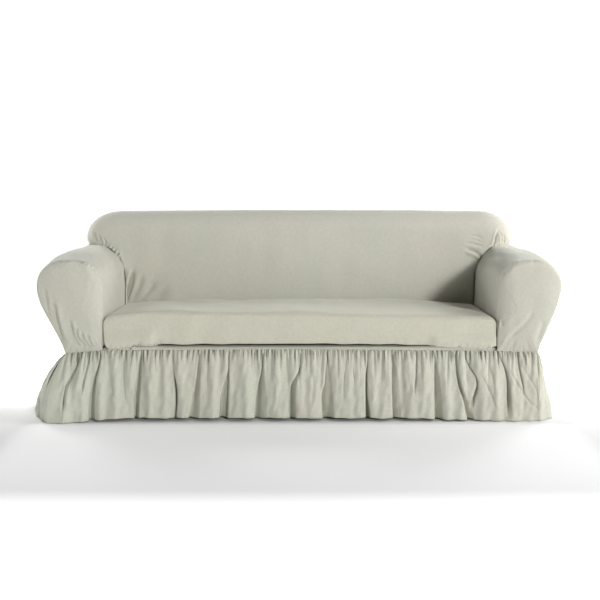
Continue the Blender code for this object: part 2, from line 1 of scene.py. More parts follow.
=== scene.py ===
"""Looks of a fitted sofa slipcover: rolled arms, a rolled back, a gathered skirt and the separate
cover of its one long cushion.

Metres, +Z up, the seat faces -Y. Every panel is one sheet of brushed cotton twill, laid out as a
grid whose rows and columns run with the cloth, and it stands for the CAD node of the same name.
"""

import math

import bpy
import numpy as np
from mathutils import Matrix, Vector


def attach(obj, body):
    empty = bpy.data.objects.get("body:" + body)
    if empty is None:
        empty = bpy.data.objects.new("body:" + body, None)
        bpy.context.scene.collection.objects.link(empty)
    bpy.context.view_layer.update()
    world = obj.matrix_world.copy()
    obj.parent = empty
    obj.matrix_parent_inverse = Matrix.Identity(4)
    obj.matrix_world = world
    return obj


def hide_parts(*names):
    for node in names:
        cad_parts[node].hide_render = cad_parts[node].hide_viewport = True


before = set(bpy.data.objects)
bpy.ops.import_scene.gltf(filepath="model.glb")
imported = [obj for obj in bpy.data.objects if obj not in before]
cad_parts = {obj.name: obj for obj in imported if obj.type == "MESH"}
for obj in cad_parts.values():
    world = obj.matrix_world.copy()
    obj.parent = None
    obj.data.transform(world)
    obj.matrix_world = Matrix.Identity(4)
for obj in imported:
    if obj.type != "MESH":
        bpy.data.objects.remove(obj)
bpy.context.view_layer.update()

CLOTH = 0.0012
HALF = CLOTH / 2
SIDE_NAMES = {-1: "left", 1: "right"}

# Forms -----------------------------------------------------------------------------------------

# The CAD's own values, apart from a few lines with a comment, which are the visual cover's alone
FRONT_Y, REAR_Y = -0.440, 0.440
FLOOR_CLEAR = 0.001
ARM_X, ARM_Z, ARM_HALF_X, ARM_HALF_Z, ARM_POWER = 0.968, 0.560, 0.138, 0.114, 2.2
ARM_INNER_X, UNDER_ROLL = ARM_X - ARM_HALF_X, math.radians(-20.5)
ARM_BASE_X = {-1: 0.989, 1: 1.012}
ARM_EDGE_DEPTH, ARM_EDGE_IN, ARM_EDGE_Z = 0.030, 0.004, (0.300, 0.450)
ARM_CROWN, ARM_CROWN_RINGS, ARM_FRONT_HUB = 0.013, (0.97, 0.42), (0.925, 0.455)
ARM_UNDER_BACK, ARM_PAST_FACE = 0.950, 0.004
ARM_IN_CREVICE = 0.014  # the arm's cover runs this much further in, beside the backrest
ARM_SEAM_Y = FRONT_Y + 0.0008  # the sides of an arm start this close behind its front
CREST_Z, CREST_Y, CREST_SIDE_X, CREST_FOOT_X = 0.848, 0.3375, 1.030, 1.015
CREST_CORNER_X, CREST_CORNER_Z, CREST_POWER, CREST_SAG = 0.850, 0.711, 2.2, 0.006
ROLL_INSET, ROLL_REAR, ROLL_POWER, BACK_NOTCH = 0.095, 0.125, 2.3, 0.004
FACE_FOOT_Y, FACE_SLOPE, FACE_CURVE = 0.168, 0.079, 0.1585
FACE_ON_ROLL, FACE_ROLL_END, FACE_WALL_TOP = 0.025, math.radians(174), 0.530
BACK_OFF_ARM, BACK_CREVICE = 0.0045, 0.0130  # least distance from an arm, and more beside its fill
DECK_Z, DECK_RADIUS, DECK_SUNK = 0.3075, 0.013, 0.0038  # sunk where the cushion's hem stands off
SEAM_X = (-0.989, -0.829, 0.0, 0.829, 1.012)
SEAM_Z = (0.277, 0.291, 0.295, 0.288, 0.282)
CUSHION_X, CUSHION_FRONT, CUSHION_REAR = 0.8285, -0.4325, 0.164
CUSHION_MIDDLE, CUSHION_HALF_Y = (CUSHION_REAR + CUSHION_FRONT) / 2, (CUSHION_REAR - CUSHION_FRONT) / 2
CUSHION_CORNER, CUSHION_EDGE, CUSHION_CROWN = 0.007, 0.025, 0.008
CUSHION_END, CUSHION_END_DROP = 0.045, 0.024  # the top rounds down towards the arms
CUSHION_BULGE, CUSHION_HEM, CUSHION_HEM_RADIUS, CUSHION_Z = 0.004, 0.028, 0.008, 0.3098
SEAM_DIP, SEAM_HALF = 0.0012, 0.0022  # the groove of the seam round the cushion's top
SEAT_LINE = (
    (-0.830, 0.436, 0.414),
    (-0.640, 0.459, 0.427),
    (-0.310, 0.452, 0.433),
    (0.000, 0.451, 0.436),
    (0.500, 0.437, 0.435),
    (0.830, 0.434, 0.411),
)
SKIRT_STRIPS = {  # each side's columns, rows and flat size
    "front": (900, 50, (3.40, 0.30)),
    "right": (260, 40, (1.50, 0.30)),
    "back": (420, 40, (3.00, 0.30)),
    "left": (260, 40, (1.50, 0.30)),
}
SKIRT_SIDES = tuple(SKIRT_STRIPS)
SKIRT_CORNER, SKIRT_CORNER_RUN, SKIRT_DROP = 0.006, 0.110, 0.285
SKIRT_STEP = 0.00035  # each row is worked out at this spacing before it is shared out
SKIRT_TOP_DEPTH, SKIRT_HEM_DEPTH, SKIRT_SETTLE, SKIRT_KICK = 0.015, 0.044, 0.10, 0.30
FOLD_MIDDLE = 0.55
FOLD_EDGE = 0.0045  # width of a fold's sharp side
FOLD_LIP = 0.0042  # its ridge hangs over by this much
FOLD_FALL = 1.45  # its floor lies this much deeper than the gathers' own middle
HEM_LIFT, HEM_LIFT_X = 0.012, (-1.000, -0.700, 0.350, 0.900)
FLARE = (
    ("front", 0.00, 0.088),
    ("front", 0.05, 0.072),
    ("front", 0.14, 0.052),
    ("front", 0.90, 0.050),
    ("front", 0.97, 0.048),
    ("right", 0.03, 0.030),
    ("right", 0.50, 0.044),
    ("back", 0.00, 0.056),
    ("back", 0.50, 0.055),
    ("back", 1.00, 0.062),
    ("left", 0.40, 0.080),
    ("left", 0.85, 0.110),
    ("left", 1.00, 0.106),
)
# Flare of the left front corner in plan, by the angle from the front: two flat faces and an edge
LEFT_CORNER = ((0.0, 0.088), (31.0, 0.101), (90.0, 0.106))
PLAIN_FOLD_PITCH, PLAIN_FOLD_HALF, PLAIN_FOLD_UNEVEN = 0.115, 0.026, 0.28

# Each fold of the front skirt: depth, its sharp edge, share of the drop it reaches, and where its
# two edges run: share of the drop, x of the left edge, x of the right edge
FRONT_FOLDS = (
    (0.80, "L", 0.72, ((0.05, -0.932, -0.926), (0.20, -0.940, -0.931), (0.33, -0.962, -0.949),
        (0.46, -0.986, -0.968), (0.65, -0.998, -0.976))),
    (0.60, "L", 0.50, ((0.05, -0.890, -0.885), (0.20, -0.893, -0.885), (0.34, -0.904, -0.895),
        (0.47, -0.910, -0.901))),
    (1.05, "L", 1.00, ((0.05, -0.841, -0.836), (0.20, -0.846, -0.838), (0.36, -0.862, -0.850),
        (0.60, -0.877, -0.857), (1.00, -0.883, -0.858))),
    (0.50, "", 0.68, ((0.05, -0.743, -0.738), (0.35, -0.744, -0.736), (0.55, -0.739, -0.730),
        (0.68, -0.735, -0.726))),
    (1.10, "L", 1.00, ((0.05, -0.670, -0.665), (0.20, -0.679, -0.667), (0.35, -0.681, -0.667),
        (0.50, -0.688, -0.669), (0.70, -0.695, -0.673), (1.00, -0.696, -0.675))),
    (1.15, "LR", 1.00, ((0.05, -0.529, -0.525), (0.24, -0.534, -0.528), (0.38, -0.532, -0.522),
        (0.50, -0.528, -0.512), (0.70, -0.522, -0.508), (1.00, -0.527, -0.514))),
    (0.80, "L", 1.00, ((0.08, -0.424, -0.415), (0.20, -0.432, -0.417), (0.38, -0.434, -0.418),
        (0.69, -0.450, -0.420), (1.00, -0.469, -0.423))),
    (1.00, "R", 1.00, ((0.08, -0.298, -0.294), (0.30, -0.299, -0.294), (0.46, -0.313, -0.292),
        (0.70, -0.331, -0.295), (1.00, -0.336, -0.298))),
    (1.00, "L", 1.00, ((0.03, -0.157, -0.152), (0.10, -0.159, -0.151), (0.31, -0.162, -0.151),
        (0.49, -0.174, -0.147), (0.70, -0.184, -0.139), (1.00, -0.191, -0.138))),
    (0.75, "L", 1.00, ((0.03, 0.003, 0.007), (0.27, 0.002, 0.009), (0.39, -0.015, -0.003),
        (0.50, -0.038, -0.016), (0.70, -0.041, -0.017), (1.00, -0.041, -0.015))),
    (0.95, "L", 1.00, ((0.03, 0.115, 0.119), (0.15, 0.115, 0.122), (0.30, 0.108, 0.130),
        (0.50, 0.106, 0.135), (0.65, 0.090, 0.137), (1.00, 0.097, 0.147))),
    (0.45, "", 0.62, ((0.05, 0.203, 0.207), (0.30, 0.190, 0.196), (0.49, 0.183, 0.190),
        (0.62, 0.184, 0.192))),
    (0.45, "", 0.46, ((0.05, 0.229, 0.233), (0.27, 0.223, 0.229), (0.46, 0.230, 0.236))),
    (1.20, "LR", 1.00, ((0.05, 0.289, 0.294), (0.22, 0.284, 0.294), (0.42, 0.277, 0.291),
        (0.70, 0.277, 0.292), (1.00, 0.279, 0.303))),
    (0.35, "", 0.40, ((0.05, 0.356, 0.360), (0.39, 0.356, 0.360))),
    (0.90, "L", 1.00, ((0.05, 0.392, 0.396), (0.17, 0.392, 0.401), (0.35, 0.389, 0.414),
        (0.55, 0.388, 0.422), (1.00, 0.392, 0.429))),
    (0.55, "L", 0.57, ((0.05, 0.495, 0.499), (0.23, 0.491, 0.496), (0.42, 0.489, 0.497),
        (0.57, 0.483, 0.490))),
    (0.90, "L", 1.00, ((0.06, 0.568, 0.572), (0.15, 0.568, 0.575), (0.30, 0.567, 0.583),
        (0.50, 0.566, 0.591), (1.00, 0.567, 0.601))),
    (0.85, "L", 1.00, ((0.06, 0.652, 0.657), (0.15, 0.655, 0.662), (0.33, 0.655, 0.667),
        (0.52, 0.665, 0.677), (0.71, 0.682, 0.697), (1.00, 0.700, 0.730))),
    (0.60, "R", 0.75, ((0.06, 0.693, 0.697), (0.19, 0.703, 0.709), (0.30, 0.723, 0.731),
        (0.42, 0.742, 0.751), (0.53, 0.741, 0.751), (0.65, 0.728, 0.740), (0.75, 0.712, 0.730))),
    (0.70, "L", 0.82, ((0.05, 0.830, 0.836), (0.23, 0.856, 0.864), (0.39, 0.866, 0.875),
        (0.56, 0.868, 0.880), (0.82, 0.868, 0.884))),
    (0.60, "L", 0.53, ((0.05, 0.917, 0.922), (0.30, 0.925, 0.932), (0.42, 0.934, 0.940),
        (0.53, 0.943, 0.948))),
)
# Fine creases across the skirt's ridges: half width, depth, then share of the drop and x
SKIRT_CREASES = (
    (0.005, 0.0070, ((0.30, 0.885), (0.47, 0.916), (0.62, 0.947), (0.76, 0.983), (0.85, 1.018))),
    (0.004, 0.0060, ((0.36, 0.762), (0.56, 0.791), (0.74, 0.812), (0.88, 0.823))),
    (0.005, 0.0030, ((0.18, 0.930), (0.36, 0.968), (0.55, 1.000), (0.80, 1.030))),
    (0.006, 0.0045, ((0.22, 0.792), (0.36, 0.806), (0.50, 0.812), (0.64, 0.810))),
    (0.006, 0.0025, ((0.25, -0.795), (0.50, -0.790), (0.80, -0.760))),
    (0.006, 0.0025, ((0.15, -0.640), (0.45, -0.622), (0.90, -0.612))),
    (0.006, 0.0030, ((0.20, 0.045), (0.50, 0.060), (0.85, 0.052))),
    (0.005, 0.0025, ((0.35, -0.105), (0.60, -0.085), (0.90, -0.098))),
    (0.006, 0.0025, ((0.30, 0.455), (0.60, 0.470), (0.95, 0.505))),
)
GATHER_PITCH = 0.0190
GATHER_DEPTH = 0.0120

ARM_PILLOW = 0.0145  # the roll is fuller between its front and the backrest
ROLL_DENT, ARM_SWELL = 0.013, 0.008  # the backrest's dent in it, and the padding under it
# Creases of the arm fronts, as curves in front view: half width, depth, raised lip beside it, points
ARM_CREASES = {
    -1: (
        (0.0095, 0.0170, 0.0060, ((1.036, 0.505), (1.029, 0.444), (1.017, 0.385), (0.996, 0.318))),
        (0.0080, 0.0105, 0.0050, ((0.970, 0.425), (0.952, 0.350), (0.922, 0.300))),
        (0.0065, 0.0105, 0.0050, ((0.943, 0.390), (0.931, 0.341), (0.893, 0.298))),
        (0.0060, 0.0100, 0.0045, ((0.920, 0.368), (0.904, 0.332), (0.879, 0.297))),
        (0.0050, 0.0080, 0.0035, ((0.890, 0.360), (0.882, 0.326), (0.869, 0.300))),
        (0.0080, 0.0050, 0.0025, ((1.072, 0.565), (1.064, 0.500), (1.050, 0.430))),
    ),
    1: (
        (0.0100, 0.0042, 0.0012, ((0.992, 0.462), (0.965, 0.424), (0.931, 0.390), (0.876, 0.343))),
        (0.0120, 0.0045, 0.0010, ((1.034, 0.425), (1.022, 0.380), (1.004, 0.325))),
        (0.0065, 0.0060, 0.0020, ((0.846, 0.424), (0.850, 0.393))),
        (0.0050, 0.0020, 0.0010, ((0.905, 0.330), (0.890, 0.305))),
    ),
}

# Gathers along an arm's seam, on its side and on its front: start, end, pitch, length, depth, seed
ARM_TUCKS = {-1: (0.26, 0.53, 0.0150, 0.016, 0.0080, 11), 1: (0.30, 0.50, 0.024, 0.012, 0.0035, 12)}
ARM_FRONT_TUCKS = {
    -1: (0.28, 0.55, 0.0150, 0.010, 0.0060, 11),
    1: (0.32, 0.52, 0.024, 0.008, 0.0025, 12),
}

# Creases of the inside back, in the same form
BACK_CREASES = (
    (0.0095, 0.0300, 0.0090, ((-0.789, 0.575), (-0.801, 0.510), (-0.818, 0.450), (-0.842, 0.375))),
    (0.0100, 0.0110, 0.0045, ((-0.747, 0.553), (-0.760, 0.497), (-0.793, 0.430), (-0.832, 0.375))),
    (0.0140, 0.0110, 0.0040, ((-0.686, 0.524), (-0.716, 0.474), (-0.762, 0.425), (-0.820, 0.380))),
    (0.0170, 0.0080, 0.0030, ((-0.615, 0.482), (-0.664, 0.443), (-0.725, 0.408), (-0.800, 0.375))),
    (0.0050, 0.0030, 0.0015, ((0.810, 0.728), (0.841, 0.728), (0.872, 0.712))),
    (0.0050, 0.0030, 0.0018, ((0.783, 0.712), (0.828, 0.713), (0.872, 0.696))),
    (0.0055, 0.0035, 0.0020, ((0.778, 0.700), (0.820, 0.692), (0.878, 0.676))),
    (0.0070, 0.0110, 0.0080, ((0.782, 0.668), (0.821, 0.658), (0.848, 0.643), (0.874, 0.612))),
    (0.0055, 0.0070, 0.0025, ((0.956, 0.760), (0.937, 0.728), (0.931, 0.700), (0.912, 0.676))),
    (0.0050, 0.0080, 0.0035, ((0.962, 0.748), (0.971, 0.721), (0.966, 0.694))),
    (0.0050, 0.0060, 0.0030, ((0.977, 0.742), (0.983, 0.716), (0.978, 0.690))),
    (0.0050, 0.0090, 0.0035, ((-0.984, 0.752), (-0.972, 0.716), (-0.962, 0.695))),
    (0.0050, 0.0070, 0.0030, ((-0.962, 0.738), (-0.948, 0.708), (-0.940, 0.690))),
    (0.0050, 0.0060, 0.0030, ((-0.935, 0.722), (-0.925, 0.700), (-0.920, 0.684))),
    (0.0042, 0.0080, 0.0040, ((-0.932, 0.654), (-0.915, 0.676), (-0.899, 0.694))),
    (0.0040, 0.0080, 0.0040, ((-0.916, 0.642), (-0.900, 0.662), (-0.884, 0.679))),
    (0.0040, 0.0075, 0.0040, ((-0.901, 0.630), (-0.884, 0.650), (-0.868, 0.668))),
    (0.0040, 0.0070, 0.0040, ((-0.888, 0.616), (-0.870, 0.635), (-0.853, 0.652))),
    (0.0038, 0.0060, 0.0035, ((-0.877, 0.600), (-0.858, 0.617), (-0.842, 0.632))),
)


# Numbers ---------------------------------------------------------------------------------------


def ease(value):
    value = np.clip(value, 0.0, 1.0)
    return value * value * (3 - 2 * value)


def bell(distance, half):
    return np.exp(-((distance / half) ** 2))


def rounded_table(x, stations, values, reach):
    """A table read between its stations, with the corners at the stations rounded off."""
    spread = np.asarray(x)[..., None] + reach * np.linspace(-1, 1, 9)
    return np.interp(spread, stations, values).mean(axis=-1)


def as_points(*parts):
    """Points from their coordinates, each an array or one number."""
    return np.stack(np.broadcast_arrays(*parts), axis=-1)


def seam_z(x):
    return np.interp(x, SEAM_X, SEAM_Z)


def wobble(a, b, size, seed, stretch=1.0, waves=9):
    """Soft uneven relief, about -1 to 1, with bumps of this size; stretch draws them out along b."""
    rng = np.random.default_rng(seed)
    total = 0.0
    for _ in range(waves):
        turn = rng.uniform(0, 2 * math.pi)
        wave = 2 * math.pi / size * rng.uniform(0.6, 1.5)
        total = total + np.sin(
            wave * (a * math.cos(turn) + b * math.sin(turn) / stretch) + rng.uniform(0, 2 * math.pi)
        )
    return total / math.sqrt(waves)


def ripples(a, b, *layers):
    """Layers of uneven relief: each has its height, the size of its bumps, its seed and its stretch."""
    return sum(height * wobble(a, b, size, seed, stretch) for height, size, seed, stretch in layers)


def smooth_curve(points, steps=8):
    """A curve through a few points."""
    points = np.asarray(points, float)
    padded = np.vstack([2 * points[0] - points[1], points, 2 * points[-1] - points[-2]])
    out = []
    for a, b, c, d in zip(padded, padded[1:], padded[2:], padded[3:]):
        for t in np.linspace(0, 1, steps, endpoint=False):
            out.append(0.5 * (2 * b + (c - a) * t + (2 * a - 5 * b + 4 * c - d) * t**2
                              + (3 * b - a - 3 * c + d) * t**3))
    out.append(points[-1])
    return np.array(out)


def crease_relief(x, z, creases):
    """Height of creases drawn as curves over the plane: a groove, with a low lip on its left."""
    relief = np.zeros(np.shape(x))
    for half, deep, lip, points in creases:
        line = smooth_curve(points)
        lengths = np.hypot(*(line[1:] - line[:-1]).T)
        before = np.concatenate([[0], np.cumsum(lengths)])
        nearest = np.full(np.shape(x), 1e9)
        side = np.zeros(np.shape(x))
        share = np.zeros(np.shape(x))
        for index, (p, q) in enumerate(zip(line, line[1:])):
            along = (q - p) / lengths[index]
            reach = (x - p[0]) * along[0] + (z - p[1]) * along[1]
            held = np.clip(reach, 0, lengths[index])
            away = np.hypot(x - p[0] - held * along[0], z - p[1] - held * along[1])
            turn = (x - p[0]) * along[1] - (z - p[1]) * along[0]
            closer = away < nearest
            nearest = np.where(closer, away, nearest)
            side = np.where(closer, np.sign(turn), side)
            share = np.where(closer, (before[index] + held) / before[-1], share)
        fade = ease(share / 0.25) * ease((1 - share) / 0.25) * 0.85 + 0.15 * bell(share - 0.5, 0.5)
        relief -= deep * fade * bell(nearest, half)
        relief += lip * fade * bell(nearest * side - 1.9 * half, 1.2 * half)
    return relief


def tucks(along, away, marks, half):
    """Short gathers that start at a sewn edge: each mark is its place, length and depth."""
    relief = np.zeros(np.broadcast(along, away).shape)
    for place, length, deep in marks:
        relief -= deep * np.exp(-((np.abs(along - place) / half) ** 1.4)) * np.exp(-((away / length) ** 2))
    return relief


def tuck_marks(start, end, pitch, length, deep, seed):
    """Marks for tucks, uneven round this pitch, length and depth."""
    rng = np.random.default_rng(seed)
    marks = []
    place = start
    while place < end:
        marks.append((place, length * rng.uniform(0.5, 1.5), deep * rng.uniform(0.4, 1.2)))
        place += pitch * rng.uniform(0.6, 1.4)
    return marks


def arc(points):
    """Length along a row of points, from its first."""
    steps = np.linalg.norm(np.diff(points, axis=0), axis=1)
    return np.concatenate([[0], np.cumsum(steps)])


def run_down(grid):
    """Length down each column of a grid, from its first row."""
    steps = np.linalg.norm(np.diff(grid, axis=0), axis=2)
    return np.vstack([np.zeros((1, grid.shape[1])), np.cumsum(steps, axis=0)])


def strip_at(line, places):
    """Points of a line at these lengths along it."""
    along = arc(line)
    return np.stack([np.interp(places, along, values) for values in line.T], axis=-1)


def even_values(values, points, count, weight):
    """Values of a parameter that space the points evenly, and closer where the weight is high."""
    steps = np.diff(arc(points)) * (weight[1:] + weight[:-1]) / 2
    length = np.concatenate([[0], np.cumsum(steps)])
    return np.interp(np.linspace(0, length[-1], count), length, values)


# Sheets ----------------------------------------------------------------------------------------


def outward(grid, towards, ring=False):
    """Unit normals of a grid, on the side that faces a direction or away from a point."""
    if ring:
        across = np.roll(grid, -1, axis=1) - np.roll(grid, 1, axis=1)
    else:
        across = np.gradient(grid, axis=1)
    normal = np.cross(across, np.gradient(grid, axis=0))
    size = np.linalg.norm(normal, axis=2, keepdims=True)
    normal = normal / np.maximum(size, 1e-12)
    return normal * np.sign((normal * towards).sum(axis=2, keepdims=True) + 1e-9)


WIDER = {-1: 0.003, 1: 0.009}  # the seat's ends stand this much further out


def widened(grid):
    """The cover as it sits, with its seat a little wider to the right than to the left."""
    out = grid.copy()
    for side, more in WIDER.items():
        x = side * grid[..., 0]
        out[..., 0] += side * more * ease((x - 0.45) / 0.35) * (1 - ease((x - 0.87) / 0.11))
    return out


def add_sheet(node, grid, slot, ring=False, hub=None,
              across_cloth=None):
    """One panel from its grid of points, with the cloth's own coordinates in metres."""
    grid = widened(grid)
    rows, columns = grid.shape[:2]
    wide = np.concatenate([grid, grid[:, :1]], axis=1) if ring else grid
    row, column = np.meshgrid(np.arange(rows - 1), np.arange(wide.shape[1] - 1), indexing="ij")
    corners = ((0, 0), (0, 1), (1, 1), (1, 0))
    quads = np.stack([(row + a) * columns + (column + b) % columns for a, b in corners], axis=-1)
    faces = quads.reshape(-1, 4).tolist()
    points = grid.reshape(-1, 3)
    across, down = across_cloth, run_down(grid).mean(axis=1)[:, None]
    if across is None:
        across = run_down(wide.swapaxes(0, 1)).mean(axis=1)[None]
    cloth = as_points(across, down) if hub is None else wide[..., ::2]
    uv = np.stack([cloth[row + a, column + b] for a, b in corners], axis=2).reshape(-1, 2)
    if hub is not None:
        hub = widened(hub[None])
        last = (rows - 1) * columns
        faces += [(last + c, last + (c + 1) % columns, len(points)) for c in range(columns)]
        fan = np.stack([cloth[-1, :-1], cloth[-1, 1:], hub[:, ::2].repeat(columns, axis=0)], axis=1)
        uv = np.concatenate([uv, fan.reshape(-1, 2)])
        points = np.vstack([points, hub])
    mesh = bpy.data.meshes.new(node)
    mesh.from_pydata(points.tolist(), [], faces)
    layer = mesh.uv_layers.new(name="cloth")
    layer.data.foreach_set("uv", uv.astype(np.float32).ravel())
    mesh.shade_smooth()
    mesh.materials.append(MATERIALS[slot])
    piece = bpy.data.objects.new(f"{node}_cloth", mesh)
    bpy.context.scene.collection.objects.link(piece)
    thickness = piece.modifiers.new("Cloth thickness", "SOLIDIFY")
    thickness.thickness = CLOTH
    thickness.offset = 0.0
    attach(piece, "root")
    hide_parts(node)


# Cloth -----------------------------------------------------------------------------------------


class Shading:
    """A node tree that short calls add to. Inputs are given in order, or by name with _ for a
    space, and each takes a value or the output that feeds it."""

    def __init__(self, tree):
        self.tree = tree

    def feed(self, node, *given, **named):
        inputs = list(zip(node.inputs, given))
        inputs += [(node.inputs[name.replace("_", " ")], value) for name, value in named.items()]
        for socket, value in inputs:
            if isinstance(value, bpy.types.NodeSocket):
                self.tree.links.new(value, socket)
            else:
                socket.default_value = value

    def add(self, kind, *given, settings=None, **named):
        node = self.tree.nodes.new(f"ShaderNode{kind}")
        for name, value in (settings or {}).items():
            setattr(node, name, value)
        self.feed(node, *given, **named)
        return node

    def combined(self, operation, *values):
        return self.add("Math", *values, settings={"operation": operation}).outputs["Value"]

    def ranged(self, source, low, high, start=0.0, end=1.0, kind="LINEAR"):
        """A value's range, from low to high, stretched to the one from start to end."""
        return self.add("MapRange", Value=source, From_Min=low, From_Max=high, To_Min=start, To_Max=end,
                        settings={"interpolation_type": kind}).outputs["Result"]

    def mixed(self, low, high, factor=1.0, kind="MIX"):
        """A mix of two colours, each an output or its red, green and blue."""
        low, high = ((*value, 1.0) if isinstance(value, tuple) else value for value in (low, high))
        return self.add("Mix", Factor=factor, A=low, B=high,
                        settings={"data_type": "RGBA", "blend_type": kind}).outputs["Result"]

    def noise(self, vector, scale, detail, roughness=0.5, distortion=0.0, dimensions="3D"):
        return self.add("TexNoise", Vector=vector, Scale=scale, Detail=detail, Roughness=roughness,
                        Distortion=distortion, settings={"noise_dimensions": dimensions}).outputs["Fac"]

    def scaled(self, vector, scale):
        return self.add("Mapping", Vector=vector, Scale=scale).outputs["Vector"]


def new_material(name):
    material = bpy.data.materials.new(name)
    material.use_nodes = True
    return material, Shading(material.node_tree), material.node_tree.nodes["Principled BSDF"]


TWILL_TURN = math.radians(40)
GATHER_SCALE, GATHER_REACH = (112.0, 4.0, 1.0), (0.018, 0.130)
# GATHER_SHADE is painted shade: the colour that the grooves of the gathers are multiplied by
GATHER_SHADE, GATHER_STRENGTH, GATHER_HEIGHT = (0.34, 0.34, 0.31), 0.8, 0.0040


def gather_grooves(shade, cloth):
    """Fine gathers that run down from the skirt's seam to uneven lengths: 1 in a groove."""
    pleat = shade.noise(shade.scaled(cloth, GATHER_SCALE), 1.0, 2.0, distortion=0.15, dimensions="2D")
    uneven = shade.noise(shade.scaled(cloth, (33.0, 1.0, 1.0)), 1.0, 1.0, dimensions="2D")
    down = shade.add("SeparateXYZ", Vector=cloth).outputs["Y"]
    share = shade.combined("DIVIDE", down, shade.ranged(uneven, 0.30, 0.70, *GATHER_REACH))
    fade = shade.ranged(share, 0.2, 1.0, 1.0, 0.0, "SMOOTHSTEP")
    return shade.combined("MULTIPLY", fade, shade.ranged(pleat, 0.38, 0.50, 1.0, 0.0))


def cloth_material(name, colour, second, gathered=False):
    """Brushed cotton twill: fine diagonal ribs, a short nap, slubs, and a soft change of colour, with
    painted shade in the grooves of the skirt's gathers.
    """
    material, shade, shader = new_material(name)
    place = shade.add("TexCoord").outputs["Object"]
    cloth = shade.add("UVMap", settings={"uv_map": "cloth"}).outputs["UV"]
    turned = shade.add("Mapping", Vector=cloth, Rotation=(0, 0, TWILL_TURN)).outputs["Vector"]
    ribs = shade.add("TexWave", Vector=turned, Scale=230.0, Distortion=1.2, Detail=2.0, Detail_Scale=2.0,
                     settings={"wave_type": "BANDS", "bands_direction": "X"}).outputs["Fac"]
    nap = shade.noise(place, 620.0, 3.0, 0.6)
    slub = shade.noise(place, 95.0, 4.0, 0.65)
    broad = shade.noise(place, 3.2, 2.0)
    rumple = shade.noise(place, 13.0, 3.0, 0.45, 0.5)
    tone = shade.mixed(colour, second, shade.ranged(broad, 0.35, 0.65))
    dusty = shade.mixed((0.93, 0.93, 0.925), (1.04, 1.04, 1.035), shade.ranged(slub, 0.30, 0.75))
    yarn = shade.mixed((0.955, 0.955, 0.95), (1.02, 1.02, 1.02), ribs)
    dye_and_groove_shade = shade.mixed(shade.mixed(tone, dusty, kind="MULTIPLY"), yarn, kind="MULTIPLY")
    reliefs = [(rumple, 0.35, 0.0050), (slub, 0.30, 0.0007), (nap, 0.30, 0.0003), (ribs, 0.30, 0.0003)]
    if gathered:
        groove = gather_grooves(shade, cloth)
        # Painted shade: the gathers' grooves are darkened in the colour as well as bumped
        shadow = shade.mixed((1.0, 1.0, 1.0), GATHER_SHADE, groove)
        dye_and_groove_shade = shade.mixed(dye_and_groove_shade, shadow, kind="MULTIPLY")
        raised = shade.combined("SUBTRACT", 1.0, groove)
        reliefs.insert(0, (raised, GATHER_STRENGTH, GATHER_HEIGHT))
    below = {}
    for source, strength, distance in reliefs:
        bump = shade.add("Bump", Strength=strength, Distance=distance, Height=source, **below)
        below = {"Normal": bump.outputs["Normal"]}
    shade.feed(shader, Base_Color=dye_and_groove_shade, Roughness=0.92, Specular_IOR_Level=0.25, Sheen_Weight=0.22,
               Sheen_Roughness=0.55, Sheen_Tint=(0.95, 0.97, 0.92, 1.0), **below)
    return material


MATERIALS = {  # each with its colour and the one it drifts to
    "body_cloth": cloth_material("body_twill", (0.526, 0.529, 0.456), (0.542, 0.522, 0.452)),
    "seat_cover_cloth": cloth_material("seat_cover_twill", (0.572, 0.566, 0.471), (0.585, 0.566, 0.469)),
    "skirt_cloth": cloth_material("skirt_twill", (0.550, 0.564, 0.473), (0.566, 0.556, 0.469),
                                  gathered=True),
}

# Arms ------------------------------------------------------------------------------------------


def roll_point(angle, out=0.0):
    c, s = np.cos(angle), np.sin(angle)
    x = ARM_X + (ARM_HALF_X + out) * np.sign(c) * np.abs(c) ** (2 / ARM_POWER)
    z = ARM_Z + (ARM_HALF_Z + out) * np.sign(s) * np.abs(s) ** (2 / ARM_POWER)
    return as_points(x, z)


def arm_top_z(x, out=0.0):
    share = np.minimum(np.abs(x - ARM_X) / (ARM_HALF_X + out), 1.0)
    return ARM_Z + (ARM_HALF_Z + out) * (1 - share**ARM_POWER) ** (1 / ARM_POWER)


def roll_angle_at(x):
    share = (x - ARM_X) / ARM_HALF_X
    return math.acos(math.copysign(abs(share) ** (ARM_POWER / 2), share))


def roll_dent(x, z):
    """How far the backrest presses in an arm's roll, at the roll's rear end."""
    turn = np.degrees(np.arctan2(z - ARM_Z, x - ARM_X)) % 360
    return ROLL_DENT * bell(turn - 150, 30)


def filled(x, z):
    """Share of an arm's fill that lifts its cover, by the turn round its roll."""
    turn = np.degrees(np.arctan2(z - ARM_Z, x - ARM_X))
    return ease((turn - 5) / 35) * (1 - 0.75 * ease((turn - 95) / 50) - 0.25 * ease((turn - 145) / 35))


def swell(x, z, y):
    """How far the padding pushes an arm's outer side out, under its roll."""
    high = ease((0.560 - z) / 0.09) * ease((z - 0.285) / 0.20)
    return ARM_SWELL * high * ease((x - ARM_X) / 0.05) * ease((REAR_Y - y) / 0.25)


def drawn_in(x, z, y):
    """An arm's outline, drawn in towards its front seam and padded out under its roll."""
    near = np.maximum(0.0, 1 - (y - FRONT_Y) / ARM_EDGE_DEPTH)
    pull = ARM_EDGE_IN * near**2 * ease((z - ARM_EDGE_Z[0]) / (ARM_EDGE_Z[1] - ARM_EDGE_Z[0]))
    reach = np.hypot(x - ARM_X, z - ARM_Z)
    over = z >= ARM_Z
    new_x = np.where(over, x - pull * (x - ARM_X) / reach, x - np.copysign(pull, x - ARM_X))
    return new_x + swell(x, z, y), np.where(over, z - pull * (z - ARM_Z) / reach, z)


def edge_radius(x, z, side):
    """Radius of the soft edge between an arm's front and its sides: widest above the cushion."""
    inner = ease((0.90 - x) / 0.06) * ease((z - 0.385) / 0.07)
    top = 0.012 * ease((z - 0.60) / 0.05) * (side > 0)
    return (0.008 + 0.030 * inner + top * (1 - inner)) * ease((z - 0.285) / 0.03)


